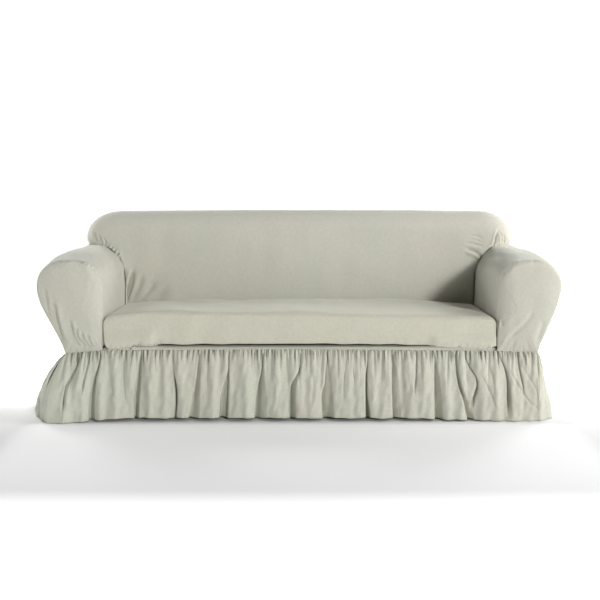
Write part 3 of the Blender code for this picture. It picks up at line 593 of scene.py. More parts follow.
def sewn(x, z, side):
    """How plainly an arm front's seam shows: 0 where its edge is one soft round, 1 elsewhere."""
    if side < 0:
        return 1 - 0.9 * ease((0.92 - x) / 0.06) * ease((0.640 - z) / 0.04) * ease((z - 0.385) / 0.07)
    return 1 - 0.9 * ease((1.04 - x) / 0.05) * ease((z - 0.385) / 0.07)


def set_back(radius, inset):
    """How far a quarter-round edge lies behind its face, this far in from its side."""
    short = np.maximum(radius - inset, 0.0)
    return radius - np.sqrt(np.maximum(radius * radius - short * short, 0.0))


EDGE_SHARE = 1 - math.sqrt(0.5)  # the seam runs along the middle of the edge


def outline_normals(outline, closed=False):
    if closed:
        along = np.roll(outline, -1, axis=0) - np.roll(outline, 1, axis=0)
    else:
        along = np.gradient(outline, axis=0)
    normal = as_points(along[:, 1], -along[:, 0])
    normal = normal / np.maximum(np.linalg.norm(normal, axis=1, keepdims=True), 1e-9)
    middle = np.array((ARM_X, 0.5))
    return normal * np.sign(((outline - middle) * normal).sum(axis=1, keepdims=True) + 1e-9)


def face_y(z):
    rise = z - DECK_Z
    return FACE_FOOT_Y + FACE_SLOPE * rise + FACE_CURVE * rise * rise


def roll_front_y(inset, z):
    share = np.clip(inset / ROLL_INSET, 0.0, 1.0)
    turn = (1 - (1 - share) ** ROLL_POWER) ** (1 / ROLL_POWER)
    return CREST_Y - (CREST_Y - face_y(z)) * turn


def arm_end_y(x, z):
    """Where an arm's cover ends at the back: in the crevice beside the backrest, or at the rear."""
    inner = np.where(z < ARM_Z, face_y(z), roll_front_y(CREST_FOOT_X - x, z))
    inner = inner + ARM_PAST_FACE + ARM_IN_CREVICE
    outer = (x > ARM_UNDER_BACK) | ((z < ARM_Z) & (x > ARM_X))
    return np.where(outer, REAR_Y - HALF, inner)


def inner_and_roll(count):
    """The inside arm in front view, from the deck up the inner wall and over the roll."""
    wall = [(ARM_INNER_X, z) for z in np.linspace(DECK_Z - HALF, ARM_Z, 60)[:-1]]
    line = np.vstack([wall, roll_point(np.linspace(math.pi, UNDER_ROLL, 500))])
    at = np.linspace(0, arc(line)[-1], count)
    return strip_at(line, at), at


def under_roll(out=0.0):
    return roll_point(np.array([UNDER_ROLL]), out)[0]


def outer_wall(side, count):
    foot = np.array((ARM_BASE_X[side], seam_z(side * ARM_BASE_X[side])))
    return under_roll() + (foot - under_roll()) * np.linspace(0, 1, count)[:, None]


def arm_sheet(side, outline, columns, relief):
    """An outline in front view, carried from the front seam to the back."""
    radius = edge_radius(outline[:, 0], outline[:, 1], side)
    start = ARM_SEAM_Y + radius * EDGE_SHARE
    far = arm_end_y(outline[:, 0], outline[:, 1])
    y = start[:, None] + (far - start)[:, None] * np.linspace(0, 1, columns) ** 1.5
    normal = outline_normals(outline)
    inset = set_back(radius[:, None], y - ARM_SEAM_Y)
    x, z = outline[:, :1] - normal[:, :1] * inset, outline[:, 1:] - normal[:, 1:] * inset
    x, z = drawn_in(x, z, y)
    grid = as_points(x, y, z)
    towards = as_points(x - ARM_X, 0, z - 0.5)
    grid = grid + outward(grid, towards) * relief(x, y, z)[..., None]
    grid[..., 0] *= side
    return grid


def inside_arm(side):
    outline, along = inner_and_roll(count=176)
    marks = tuck_marks(*ARM_TUCKS[side])

    def relief(x, y, z):
        away = y - y[:, :1]
        around_roll = along[:, None]
        seam = sewn(outline[:, :1], outline[:, 1:], side) * ease((along[-1] - around_roll) / 0.03)
        length = ease(away / 0.22) * (1 - 0.45 * ease((y + 0.05) / 0.25))
        height = tucks(around_roll, away, marks, 0.0045)
        height += 0.0035 * seam * (1 - np.exp(-away / 0.018)) + ARM_PILLOW * filled(x, z) * length
        height -= roll_dent(x, z) * ease((y + 0.25) / 0.40)
        height += ripples(around_roll, y, (0.0016, 0.17, 21 + side, 2.0), (0.0010, 0.06, 23 + side, 2.5))
        return height * ease(away / 0.004 + 0.25) * ease((y[:, -1:] - y) / 0.014)

    grid = arm_sheet(side, outline, columns=84, relief=relief)
    add_sheet(f"inside_arm_{SIDE_NAMES[side]}", grid, "body_cloth")


def outside_arm(side):
    marks = tuck_marks(-0.42, 0.42, 0.034, 0.050, 0.0022, 31 + side)

    def relief(x, y, z):
        foot = z - seam_z(ARM_BASE_X[side] * side)
        height = tucks(y, foot, marks, 0.007) + ripples(y, z, (0.0028, 0.11, 33 + side, 4.0))
        height -= 0.0020 * bell(under_roll()[1] - z, 0.010)
        return height * ease((y - ARM_SEAM_Y) / 0.006) * ease((REAR_Y - y) / 0.006) * ease(foot / 0.008)

    hand = SIDE_NAMES[side]
    grid = arm_sheet(side, outer_wall(side, count=44), columns=100, relief=relief)
    add_sheet(f"outside_arm_{hand}", grid, "body_cloth")


def arm_front_outline(side):
    """The sewn edge of an arm's front, with each point's length along it, radius and direction."""
    inner_x = ARM_INNER_X - HALF
    inner_foot = np.array((inner_x, seam_z(side * inner_x)))
    outer_foot = np.array((ARM_BASE_X[side] + HALF, seam_z(side * ARM_BASE_X[side])))
    wall = [(inner_x, z) for z in np.linspace(inner_foot[1], ARM_Z, 50)[:-1]]
    roll = roll_point(np.linspace(math.pi, UNDER_ROLL, 400), HALF)
    top = under_roll(HALF)
    outer = top + (outer_foot - top) * np.linspace(0, 1, 50)[1:, None]
    foot = outer_foot + (inner_foot - outer_foot) * np.linspace(0, 1, 40)[1:, None]
    line = np.vstack([wall, roll, outer, foot])
    at = np.linspace(0, arc(line)[-1], 241)[:-1]
    line = strip_at(line, at)
    radius = edge_radius(line[:, 0], line[:, 1], side)
    normal = outline_normals(line, closed=True)
    line = line - normal * (radius * EDGE_SHARE)[:, None]
    edge = as_points(*drawn_in(*line.T, ARM_SEAM_Y + radius * EDGE_SHARE))
    return edge, at, radius, normal


def arm_front(side):
    """A crowned panel, in rings from its sewn edge to its hub."""
    outline, along, radius, normal = arm_front_outline(side)
    hub = np.array(ARM_FRONT_HUB)
    rings = 1 - np.linspace(0, 1, 43)[:-1] ** 1.3
    flat = hub + (outline[None] - hub) * rings[:, None, None]
    x, z = flat[..., 0], flat[..., 1]
    ring = rings[:, None]
    edge = np.abs(((outline - hub) * normal).sum(axis=1))[None] * (1 - ring)
    seam = sewn(outline[:, 0], outline[:, 1], side)
    crown = seam * (1 - (1 - np.clip(edge / 0.045, 0, 1)) ** 2) + (1 - seam) * ease(edge / 0.085)
    outer, inner = ARM_CROWN_RINGS
    stand = ARM_CROWN * (0.55 * ease((outer - ring) / (outer - inner)) + 0.50 * crown)
    stand -= set_back(radius[None], edge + radius[None] * EDGE_SHARE)
    foot = tuck_marks(along[-1] - 0.150, along[-1] - 0.015, 0.015, 0.028, 0.0050, 42 + side)
    relief = crease_relief(x, z, ARM_CREASES[side]) + ripples(x, z, (0.0012, 0.12, 44 + side, 1.6))
    relief += tucks(along[None], edge, tuck_marks(*ARM_FRONT_TUCKS[side]), 0.0042)
    relief += tucks(along[None], edge, foot, 0.0045)
    stand += relief * ease(edge / 0.005 + 0.3)
    # Level round the hub, where the rings are tight
    level = stand[rings < 0.20].mean()
    stand = level + (stand - level) * ease(ring / 0.28)
    grid = as_points(side * x, FRONT_Y - stand, z)
    hand = SIDE_NAMES[side]
    add_sheet(f"arm_front_{hand}", grid, "body_cloth",
              ring=True, hub=grid[-1].mean(axis=0))


# Backrest --------------------------------------------------------------------------------------


def crest(column, inset):
    """The crest line in front view, drawn in by inset; column runs from the arm, 0, to the middle, 16."""
    foot_x = CREST_FOOT_X - inset
    foot = (foot_x, arm_top_z(foot_x, HALF))
    corner_x = CREST_SIDE_X - inset
    mid = ((foot_x + corner_x) / 2, (foot[1] + CREST_CORNER_Z) / 2)
    half_x = CREST_SIDE_X - CREST_CORNER_X - inset
    half_z = CREST_Z - CREST_SAG - CREST_CORNER_Z - inset
    angle = np.clip((column - 2) / 8, 0, 1) * math.pi / 2
    share = np.clip((16 - column) / 6, 0, 1)
    x = np.interp(column, (0, 1, 2), (foot_x, mid[0], corner_x))
    z = np.interp(column, (0, 1, 2), (foot[1], mid[1], CREST_CORNER_Z))
    round_x = CREST_CORNER_X + half_x * np.cos(angle) ** (2 / CREST_POWER)
    round_z = CREST_CORNER_Z + half_z * np.sin(angle) ** (2 / CREST_POWER)
    x = np.where(column > 2, round_x, x)
    z = np.where(column > 2, round_z, z)
    x = np.where(column > 10, CREST_CORNER_X * share, x)
    z = np.where(column > 10, CREST_Z - CREST_SAG * share**2 - inset, z)
    return x, z


def slit(x, z):
    """How far the back stays off an arm, so that it curls into a crevice beside it."""
    return BACK_OFF_ARM + BACK_CREVICE * filled(x, z)


def face_end(column):
    """Where each column of the inside back ends: on the arm's roll, its inner wall, or the deck."""
    inner_x = ARM_INNER_X - HALF - BACK_OFF_ARM
    first = roll_angle_at(CREST_FOOT_X - ROLL_INSET - FACE_ON_ROLL)
    angle = first + (FACE_ROLL_END - first) * np.clip(column / 9, 0, 1)
    on_roll = roll_point(angle, HALF).T
    on_roll = roll_point(angle, HALF + slit(*on_roll) - roll_dent(*on_roll))
    roll_end_z = roll_point(np.array([FACE_ROLL_END]))[0, 1]
    x = np.interp(column, (9, 10, 13, 16), (on_roll[-1, 0], inner_x, inner_x, 0.0))
    z = np.interp(column, (9, 10, 13, 16), (roll_end_z, FACE_WALL_TOP, DECK_Z, DECK_Z))
    return np.where(column < 9, on_roll[:, 0], x), np.where(column < 9, on_roll[:, 1], z)


def clear_of_arm(x, z):
    """Points of the back's face, moved off the arm's roll and inner wall."""
    off = HALF + slit(x, z) - roll_dent(x, z)
    half_x, half_z = ARM_HALF_X + off, ARM_HALF_Z + off
    value = np.abs((x - ARM_X) / half_x) ** ARM_POWER + np.abs((z - ARM_Z) / half_z) ** ARM_POWER
    grow = np.maximum(value, 1e-6) ** (-1 / ARM_POWER)
    low, inside = z < ARM_Z, value < 1
    new_x = np.where(inside & ~low, ARM_X + (x - ARM_X) * grow, x)
    new_z = np.where(inside & ~low, ARM_Z + (z - ARM_Z) * grow, z)
    return np.where(low, np.minimum(x, ARM_X - half_x), new_x), new_z


def rear_inset(y):
    share = np.clip((y - CREST_Y) / ROLL_REAR, 0.0, 1.0)
    return ROLL_INSET * (1 - (1 - share**ROLL_POWER) ** (1 / ROLL_POWER))


def back_row(rise, column):
    """One row of half the inside back: rise is -1 at the rear seam, 0 on the crest, 1 where the
    roll meets the face, and 2 at its foot."""
    if rise <= 0:
        y = CREST_Y - rise * (REAR_Y - HALF - CREST_Y)
        x, z = crest(column, rear_inset(y))
        return as_points(x, y, z)
    if rise <= 1:
        inset = ROLL_INSET * rise
        x, z = crest(column, inset)
        return as_points(x, roll_front_y(inset, z), z)
    share = rise - 1
    x0, z0 = crest(column, ROLL_INSET)
    x1, z1 = face_end(column)
    x, z = clear_of_arm(x0 + (x1 - x0) * share, z0 + (z1 - z0) * share)
    return as_points(x, face_y(z), z)


def inside_back_grid():
    """Rows from the rear seam over the crest and down the face, columns from arm to arm."""
    dense = np.linspace(0, 16, 2400)
    line = as_points(*crest(dense, ROLL_INSET * 0.5))
    both = np.hstack([line, as_points(*face_end(dense))])
    closer = 1 + 1.0 * (line[:, 0] > 0.72) + 5.0 * (dense < 7.5)
    column = even_values(dense, both, count=226, weight=closer)
    rises = np.concatenate([np.linspace(-1, 0, 60), 1 - np.cos(np.linspace(0, math.pi / 2, 300)[1:]),
                            np.linspace(1, 2, 400)[1:]])
    spine = np.array([back_row(rise, np.array([16.0]))[0] for rise in rises])
    rise = even_values(rises, spine, count=104, weight=1 + 2.5 * ((rises > 0.05) & (rises < 1.1)))
    half = np.array([back_row(r, column) for r in rise])
    return np.concatenate([half, half[:, -2::-1] * (-1, 1, 1)], axis=1)


def inside_back():
    grid = inside_back_grid()
    x, y, z = np.moveaxis(grid, -1, 0)
    ahead = y < CREST_Y
    from_side_seam, from_foot = run_down(grid), run_down(grid[::-1])[::-1]
    across = arc(grid[50])
    from_end = np.minimum(across, across[-1] - across)[None]

    relief = crease_relief(x, z, BACK_CREASES) * ahead
    # Full above its foot, but hollow low down beside the left arm
    relief += 0.0075 * (1 - np.exp(-from_foot / 0.009)) * np.exp(-from_foot / 0.12)
    relief -= 0.022 * ease((-0.60 - x) / 0.20) * ease((0.565 - z) / 0.14) * ahead
    # Gathers where it meets the arms and along its ends, weaker on the right
    foot_line = arc(grid[-1])
    foot = tuck_marks(foot_line[-1] - 0.16, foot_line[-1] - 0.004, 0.0150, 0.026, 0.0110, 51)
    foot += tuck_marks(0.004, 0.13, 0.019, 0.014, 0.0060, 52)
    relief += tucks(foot_line[None], from_foot, foot, 0.0045)
    rim = tuck_marks(0.07, 0.30, 0.0165, 0.022, 0.0120, 53)
    relief += tucks(from_side_seam, from_end, rim, 0.0048) * np.where(x < 0, 1.0, 0.4)
    # Drawn in beside the arms' inner walls
    wall_gap = np.maximum(ARM_INNER_X - np.abs(x), 0)
    relief -= 0.010 * np.exp(-wall_gap / 0.012) * ease((ARM_Z + 0.03 - z) / 0.06)
    # Uneven all over, less so near the crest and more low down beside the arms
    calm = 1 - 0.85 * ease((z - 0.74) / 0.09)
    relief += calm * (ripples(x, z * 1.2, (0.0022, 0.42, 54, 1.4)) + ripples(x, z, (0.0012, 0.14, 55, 2.0)))
    low = bell(z - 0.43, 0.10) * (y < 0.3) * ease((np.abs(x) - 0.45) / 0.25)
    relief += low * ripples(x, z, (0.0035, 0.13, 56, 4.0))
    relief *= ease(from_foot / 0.006) * ease(from_side_seam / 0.006) * ease(from_end / 0.004)

    face_side = as_points(0.2 * x, -0.6, z - 0.2)
    top_side = as_points(0.4 * x, 0, 1.0)
    towards = np.where(ahead[..., None], face_side, top_side)
    grid = grid + outward(grid, towards) * relief[..., None]
    add_sheet("inside_back", grid, "body_cloth")


def outside_back():
    """One flat panel, with rows from the skirt's seam up to its rounded top edge."""
    base = {side: ARM_BASE_X[side] + HALF for side in (1, -1)}
    last = roll_angle_at(CREST_FOOT_X - rear_inset(REAR_Y) + BACK_NOTCH)
    roll = roll_point(np.linspace(UNDER_ROLL, last, 120), HALF)
    curve = as_points(*crest(np.linspace(1, 16, 400), rear_inset(REAR_Y) - HALF))
    right, left = (np.vstack([(base[side], seam_z(side * base[side])), roll, curve]) * (side, 1)
                   for side in (1, -1))
    top = np.vstack([left, right[-2::-1]])
    spread = np.linspace(0, arc(top)[-1], 220)
    top = strip_at(top, spread)
    share = (top[:, 0] - top[:, 0].min()) / (top[:, 0].max() - top[:, 0].min())
    order = spread / spread[-1]
    low_x = -base[-1] + (base[1] + base[-1]) * (0.35 * order + 0.65 * np.maximum.accumulate(share))
    low_x[0], low_x[-1] = -base[-1], base[1]
    low = as_points(low_x, seam_z(low_x))
    up = np.linspace(0, 1, 42)[:, None]
    x, z = np.moveaxis(low[None] * (1 - up[..., None]) + top[None] * up[..., None], -1, 0)
    relief = ripples(x, z, (0.0030, 0.30, 61, 2.5), (0.0012, 0.10, 62, 3.0))
    relief += tucks(x, z - seam_z(x), tuck_marks(-0.97, 0.97, 0.040, 0.030, 0.0018, 63), 0.007)
    relief *= ease(up / 0.03) * ease((1 - up) / 0.03) * ease(np.minimum(order, 1 - order)[None] / 0.02)
    grid = as_points(x, REAR_Y + np.minimum(relief, 0.004), z)
    add_sheet("outside_back", grid, "body_cloth")


# Seat ------------------------------------------------------------------------------------------

# Height of the cushion's front hem along the seat: near both ends it hangs over the deck's front edge
HEM = (
    (-0.829, 0.3120), (-0.812, 0.3040), (-0.790, 0.2935), (-0.755, 0.2950), (-0.712, 0.2975),
    (-0.700, 0.3085), (-0.640, 0.3075), (-0.560, 0.3145), (-0.250, 0.3163), (0.300, 0.3150),
    (0.430, 0.3148), (0.555, 0.3100), (0.640, 0.3035), (0.690, 0.2995), (0.765, 0.2960),
    (0.800, 0.2970), (0.812, 0.3010), (0.829, 0.3110),
)
HEM_ROUNDING = 0.006


def hem_z(x):
    return rounded_table(x, *zip(*HEM), HEM_ROUNDING)


def seat_deck():
    edge_x = ARM_INNER_X - HALF
    line_x = np.linspace(-edge_x, edge_x, 260)
    foot = seam_z(line_x)
    bend = FRONT_Y + DECK_RADIUS

    def deck_row(y, z):
        return as_points(line_x, y, z)

    rows = [deck_row(y, DECK_Z) for y in np.linspace(face_y(DECK_Z) - HALF, bend, 12)]
    for angle in np.radians(np.linspace(10, 90, 9)):
        drop = DECK_RADIUS * (1 - math.cos(angle))
        z = np.maximum(DECK_Z - drop, foot + 0.002 * (1 - angle / math.pi))
        rows.append(deck_row(bend - DECK_RADIUS * math.sin(angle), z))
    grid = np.array(rows + [deck_row(FRONT_Y, foot)])
    x, y, z = np.moveaxis(grid.copy(), -1, 0)
    near = ease((bend + 0.01 - y) / 0.02)
    relief = np.minimum(ripples(x, y, (0.0010, 0.035, 71, 1.0), (0.0010, 0.09, 72, 1.0)), 0.0)
    # A hollow at both ends of the front edge, and a lower edge where the cushion's hem stands off
    hole = bell(np.abs(x) - 0.822, 0.013) * ease((bend + 0.03 - y) / 0.03)
    hole = hole * ease((z - foot - 0.0005) / 0.006)
    sunk = ease((hem_z(x) - DECK_Z - 0.001) / 0.004) * ease((z - foot - 0.003) / 0.006)
    sunk = DECK_SUNK * sunk * ease((bend + 0.10 - y) / 0.08)
    grid[..., 1] += near * relief + 0.012 * hole
    grid[..., 2] += (1 - near) * relief - 0.008 * hole - sunk
    add_sheet("seat_deck", grid, "body_cloth")


def seat_top(x, y):
    stations, front, rear = zip(*SEAT_LINE)
    along = (y - CUSHION_FRONT) / (CUSHION_REAR - CUSHION_FRONT)
    across = x / CUSHION_X
    line = rounded_table(x, stations, front, 0.07) * (1 - along)
    line = line + rounded_table(x, stations, rear, 0.07) * along
    end = np.maximum(0.0, np.abs(x) - (CUSHION_X - CUSHION_END)) / CUSHION_END
    line = line - CUSHION_END_DROP * (1 - np.sqrt(np.maximum(0.0, 1 - end**2))) * (1 - 0.5 * along)
    return line + CUSHION_CROWN * (1 - across**2) * 4 * along * (1 - along)


def grid_lines(count):
    """Lines from -1 to 1, close together at both ends."""
    ends = np.linspace(0.955, 1.0, 14)
    inner = np.linspace(-0.955, 0.955, count - 26)
    return np.concatenate([-ends[::-1], inner[1:-1], ends])


def cushion_plan(u, v, inset):
    """Plan points of the cushion, drawn in by inset, with its corners rounded."""
    half_x = CUSHION_X - inset
    half_y = CUSHION_HALF_Y - inset
    corner = max(CUSHION_CORNER - inset, 0.003)
    x, y = half_x * u, half_y * v
    dx, dy = np.abs(x) - (half_x - corner), np.abs(y) - (half_y - corner)
    at_corner = (dx > 0) & (dy > 0)
    shrink = np.where(at_corner, np.maximum(dx, dy) / np.maximum(np.hypot(dx, dy), 1e-9), 1.0)
    x = np.where(at_corner, np.copysign(half_x - corner + dx * shrink, x), x)
    y = np.where(at_corner, np.copysign(half_y - corner + dy * shrink, y), y)
    return x, y + CUSHION_MIDDLE


def edge_distance(x, y):
    """How far in from the cushion's outline a point lies."""
    corner = CUSHION_CORNER
    dx = CUSHION_X - np.abs(x)
    dy = CUSHION_HALF_Y - np.abs(y - CUSHION_MIDDLE)
    at_corner = (dx < corner) & (dy < corner)
    return np.where(at_corner, corner - np.hypot(corner - dx, corner - dy), np.minimum(dx, dy))


def edge_drop(inset):
    share = np.maximum(0.0, 1 - inset / CUSHION_EDGE)
    return CUSHION_EDGE * (1 - np.sqrt(1 - share * share))


SEAM_INSET = CUSHION_EDGE * (1 - math.sin(math.radians(45)))

# A hem from HEM_ON_DECK up lies on the deck, and one that is HEM_TURN lower hangs over its edge
HEM_ON_DECK, HEM_OVER, HEM_TURN = 0.3110, 0.3112, 0.0035
EDGE_ROWS, BAND_ROWS = 7, 23
HEM_ROW = EDGE_ROWS + BAND_ROWS - 1  # the boxing's last row before its hem turns under
OVER_EDGE = (  # y and z of the turned hem where it hangs over the edge, from its fold up onto the deck
    (-0.4440, 0.0004), (-0.4434, 0.0000), (-0.4428, 0.0004), (-0.4424, 0.0020), (-0.4422, 0.0040),
    (-0.4418, 0.0070), (-0.4400, 0.3085), (-0.4350, 0.3100), (-0.4250, 0.3106), (-0.4050, 0.3108),
)


def seat_cover_top():
    u, v = np.meshgrid(grid_lines(180), grid_lines(70))
    x, y = cushion_plan(u, v, SEAM_INSET)
    edge = np.maximum(edge_distance(x, y), SEAM_INSET)
    fill = ripples(x, y, (0.0030, 0.36, 81, 1.0), (0.0010, 0.13, 82, 1.0))
    z = seat_top(x, y) - edge_drop(edge) + fill * ease((edge - SEAM_INSET) / 0.03)
    # A dip in the front and rear edges, left of the middle, and the seam's groove
    z = z - 0.004 * bell(x + 0.262, 0.020) * ease((0.05 - edge) / 0.05)
    z = z - SEAM_DIP * bell(edge - SEAM_INSET, SEAM_HALF)
    add_sheet("seat_cover_top", as_points(x, y, z), "seat_cover_cloth")


def cushion_loop(inset):
    """The cushion's outline in plan, from its left front corner round by the right."""
    u, v = grid_lines(240), grid_lines(64)
    sides = ((u[:-1], -1), (1, v[:-1]), (u[:0:-1], 1), (-1, v[:0:-1]))
    loop = np.vstack([as_points(*side) for side in sides])
    return as_points(*cushion_plan(*loop.T, inset))


def boxing_grid():
    """Rows from the top's seam down the band, round its hem and in under the cushion."""
    grid = []
    for inset in np.linspace(SEAM_INSET, 0.0, EDGE_ROWS):
        x, y = cushion_loop(inset).T
        grid.append(as_points(x, y, seat_top(x, y) - edge_drop(inset)))
    x, y, high = grid[-1].T
    front = ease((CUSHION_FRONT + 0.012 - y) / 0.010)
    hem = hem_z(x)
    lift = (np.maximum(hem, HEM_ON_DECK) - CUSHION_Z) * front
    over = ease((HEM_OVER - hem) / HEM_TURN) * front
    turn_z = CUSHION_Z + CUSHION_HEM_RADIUS + lift
    low_z = turn_z + (hem + CLOTH - turn_z) * over
    for share in np.linspace(0, 1, BAND_ROWS + 1)[1:]:
        bulge = CUSHION_BULGE * math.sin(math.pi * share) * (y < CUSHION_FRONT + 0.001)
        bulge = bulge + over * (CUSHION_FRONT - OVER_EDGE[0][0]) * ease((share - 0.35) / 0.5)
        grid.append(as_points(x, y - bulge, high + (low_z - high) * share))
    turned = [(CUSHION_HEM_RADIUS * (1 - math.cos(angle)), turn_z - CUSHION_HEM_RADIUS * math.sin(angle))
              for angle in np.radians(np.linspace(15, 90, 6))]
    turned += [(inset, CUSHION_Z + lift) for inset in np.linspace(CUSHION_HEM_RADIUS, CUSHION_HEM, 5)[1:]]
    for (inset, level), (over_y, over_z) in zip(turned, OVER_EDGE):
        px, py = cushion_loop(inset).T
        over_z = over_z if over_z > 0.1 else over_z + hem
        grid.append(as_points(px, py + (over_y - py) * over, level + (over_z - level) * over))
    return np.array(grid)


def seat_cover_boxing():
    """The band round the cushion, down to its elastic hem, which is turned under."""
    grid = boxing_grid()
    down, along = run_down(grid), arc(cushion_loop(0.0))[None]
    front = 2 * CUSHION_X
    marks = tuck_marks(0.004, 0.24, 0.024, 0.014, 0.0090, 83)
    marks += tuck_marks(front - 0.16, front - 0.004, 0.024, 0.014, 0.0080, 84)
    marks += tuck_marks(0.24, front - 0.16, 0.045, 0.008, 0.0025, 85)
    marks += tuck_marks(front, along[0, -1], 0.020, 0.018, 0.0026, 86)
    relief = tucks(along, np.abs(down - down[HEM_ROW]), marks, 0.0060)
    relief += ripples(along, down, (0.0012, 0.16, 87, 1.0), (0.0010, 0.45, 88, 1.0))
    relief = relief * ease(down / 0.01) - SEAM_DIP * bell(down, SEAM_HALF)
    away = grid - (0, CUSHION_MIDDLE, 0.37)
    grid = grid + outward(grid, away, ring=True) * relief[..., None]
    add_sheet("seat_cover_boxing", grid, "seat_cover_cloth", ring=True)


# Skirt -----------------------------------------------------------------------------------------


def side_length(side):
    if side in ("front", "back"):
        return ARM_BASE_X[1] + ARM_BASE_X[-1] - 2 * SKIRT_CORNER
    return REAR_Y - FRONT_Y - 2 * SKIRT_CORNER


def side_start(side):
    before = SKIRT_SIDES[: SKIRT_SIDES.index(side)]
    return SKIRT_CORNER_RUN * (0.5 + len(before)) + sum(side_length(name) for name in before)


SKIRT_LENGTH = side_start("left") + side_length("left") + SKIRT_CORNER_RUN / 2
FRONT_MIDDLE = side_start("front") + ARM_BASE_X[-1] - SKIRT_CORNER


def skirt_path(side, s):
    """Plan points of the seam and the outward directions along one side's strip."""
    left, right = -ARM_BASE_X[-1] + SKIRT_CORNER, ARM_BASE_X[1] - SKIRT_CORNER
    front, rear = FRONT_Y + SKIRT_CORNER, REAR_Y - SKIRT_CORNER
    corners = {"front": (left, front), "right": (right, front), "back": (right, rear), "left": (left, rear)}
    start, length = side_start(side), side_length(side)
    along = np.clip(s - start, 0.0, length)
    turn = (s - start - along) / SKIRT_CORNER_RUN * 2
    turn = np.copysign(np.abs(turn) ** 2.0, turn) * math.pi / 4
    facing = -math.pi / 2 + SKIRT_SIDES.index(side) * math.pi / 2
    run = as_points(-math.sin(facing) * along, math.cos(facing) * along)
    out = as_points(np.cos(facing + turn), np.sin(facing + turn))
    return np.array(corners[side]) + run + out * SKIRT_CORNER, out


def plain_folds():
    """The sides' and the back's folds, where the CAD has them."""
    rng = np.random.default_rng(91)
    folds = []
    s = side_start("right") - SKIRT_CORNER_RUN / 3
    number = 0
    while s < SKIRT_LENGTH - PLAIN_FOLD_HALF:
        drift = 0.020 * math.sin(2.1 * number + 0.5)
        deep = 0.85 + 0.30 * math.sin(3.7 * number + 1.0)
        half = PLAIN_FOLD_HALF + 0.004 * math.sin(5.3 * number)
        reach = 1.0 if number % 4 else 0.6
        deep *= 0.25 if s - side_start("right") < 0.10 or SKIRT_LENGTH - s < 0.18 else 1.0
        edges = []
        for t, wide in ((0.05, 0.10), (0.30, 0.35), (0.55, 0.65), (1.0, 0.95)):
            middle = s + drift * t + rng.uniform(-0.004, 0.004)
            edges.append((t, middle - half * wide, middle + half * wide))
        folds.append((deep, "LR"[number % 2], reach, edges))
        s += PLAIN_FOLD_PITCH * (1 + PLAIN_FOLD_UNEVEN * math.sin(2.4 * number + 0.9))
        number += 1
    return folds


def front_folds():
    return [(deep, sharp, reach, [(t, FRONT_MIDDLE + a, FRONT_MIDDLE + b) for t, a, b in edges])
            for deep, sharp, reach, edges in FRONT_FOLDS]


FOLDS = front_folds() + plain_folds()


def all_gathers():
    """The small gathers under the seam: place, lean, reach, half width and depth."""
    rng = np.random.default_rng(92)
    found = []
    s = 0.0
    while s < SKIRT_LENGTH:
        long = rng.uniform() < 0.30
        reach = rng.uniform(0.25, 0.55) if long else rng.uniform(0.08, 0.24)
        found.append((s, rng.uniform(-0.025, 0.025), reach, rng.uniform(0.0030, 0.0050),
                      GATHER_DEPTH * rng.uniform(0.5, 1.3)))
        s += GATHER_PITCH * rng.uniform(0.55, 1.45)
    return found


GATHERS = all_gathers()


def around(s, centre):
    """Signed distance from centre along the closed skirt."""
    return (s - centre + SKIRT_LENGTH / 2) % SKIRT_LENGTH - SKIRT_LENGTH / 2


def flare_at(s):
    """How far the hem flares out, by the length along the closed skirt."""
    stations = [(side_start(side) + share * side_length(side), out) for side, share, out in FLARE]
    first, last = stations[0], stations[-1]
    stations = [(last[0] - SKIRT_LENGTH, last[1])] + stations + [(first[0] + SKIRT_LENGTH, first[1])]
    where, out = zip(*stations)
    flare = rounded_table(s, where, out, 0.05)
    turned = np.clip(around(s, 0.0) / (SKIRT_CORNER_RUN / 2), -1, 1)
    angle = 45 - np.sign(turned) * (45 - 45 * (1 - np.abs(turned)) ** 2)
    for (a, ra), (b, rb) in zip(LEFT_CORNER, LEFT_CORNER[1:]):
        from_a, to_b = np.sin(np.radians(angle - a)), np.sin(np.radians(b - angle))
        line = np.sin(np.radians(b - a)) / (to_b / ra + from_a / rb)
        flare = np.where((np.abs(turned) < 1) & (angle >= a) & (angle < b), line, flare)
    return flare


def slope(share):
    """0 outside a fold, rising to 1 inside it."""
    return np.sin(np.clip(share, 0.0, 1.0) * math.pi / 2)


def skirt_fold(s, t):
    """Depth of the main folds, 0 to about 1.2, how far an edge hangs over, and the ridge's rounding."""
    depth = np.zeros_like(s)
    over = np.zeros_like(s)
    round_off = np.zeros_like(s)
    for deep, sharp, reach, edges in FOLDS:
        drops, left, right = (np.array(v) for v in zip(*edges))
        a, b = rounded_table(t, drops, left, 0.08), rounded_table(t, drops, right, 0.08)
        if np.abs(around(s, (a + b) / 2)).min() > 0.10:
            continue
        fade = deep * (1.0 if reach >= 1 else 1 - ease((t - reach) / 0.22 + 0.35))
        soft = 0.92 * (b - a) + 0.003
        from_left, to_right = around(s, a), -around(s, b)
        rise = ease(from_left / FOLD_EDGE + 0.5) if sharp else slope(from_left / soft)
        if "R" in sharp:
            slant = 0.45 + 0.55 * np.clip(to_right / (b - a), 0, 1)
            fall = slant * ease(to_right / FOLD_EDGE + 0.5)
        elif "L" in sharp:
            fall = np.clip((to_right + 0.004) / (b - a + 0.004), 0, 1)
        else:
            fall = slope(to_right / soft)
        depth = np.maximum(depth, fade * rise * fall)
        lip = FOLD_LIP * min(1.0, fade) * min(1.0, t / 0.12)
        if "L" in sharp:
            over += lip * np.sin(2 * math.pi * rise) * (from_left < 0.01)
        if "R" in sharp:
            over -= lip * np.sin(2 * math.pi * fall) * (to_right < 0.01)
        outside = np.maximum(np.maximum(-from_left, -to_right), 0)
        round_off = np.maximum(round_off, min(1.0, fade) * bell(outside, 0.020))
    return depth, over, round_off * (1 - np.minimum(depth, 1))


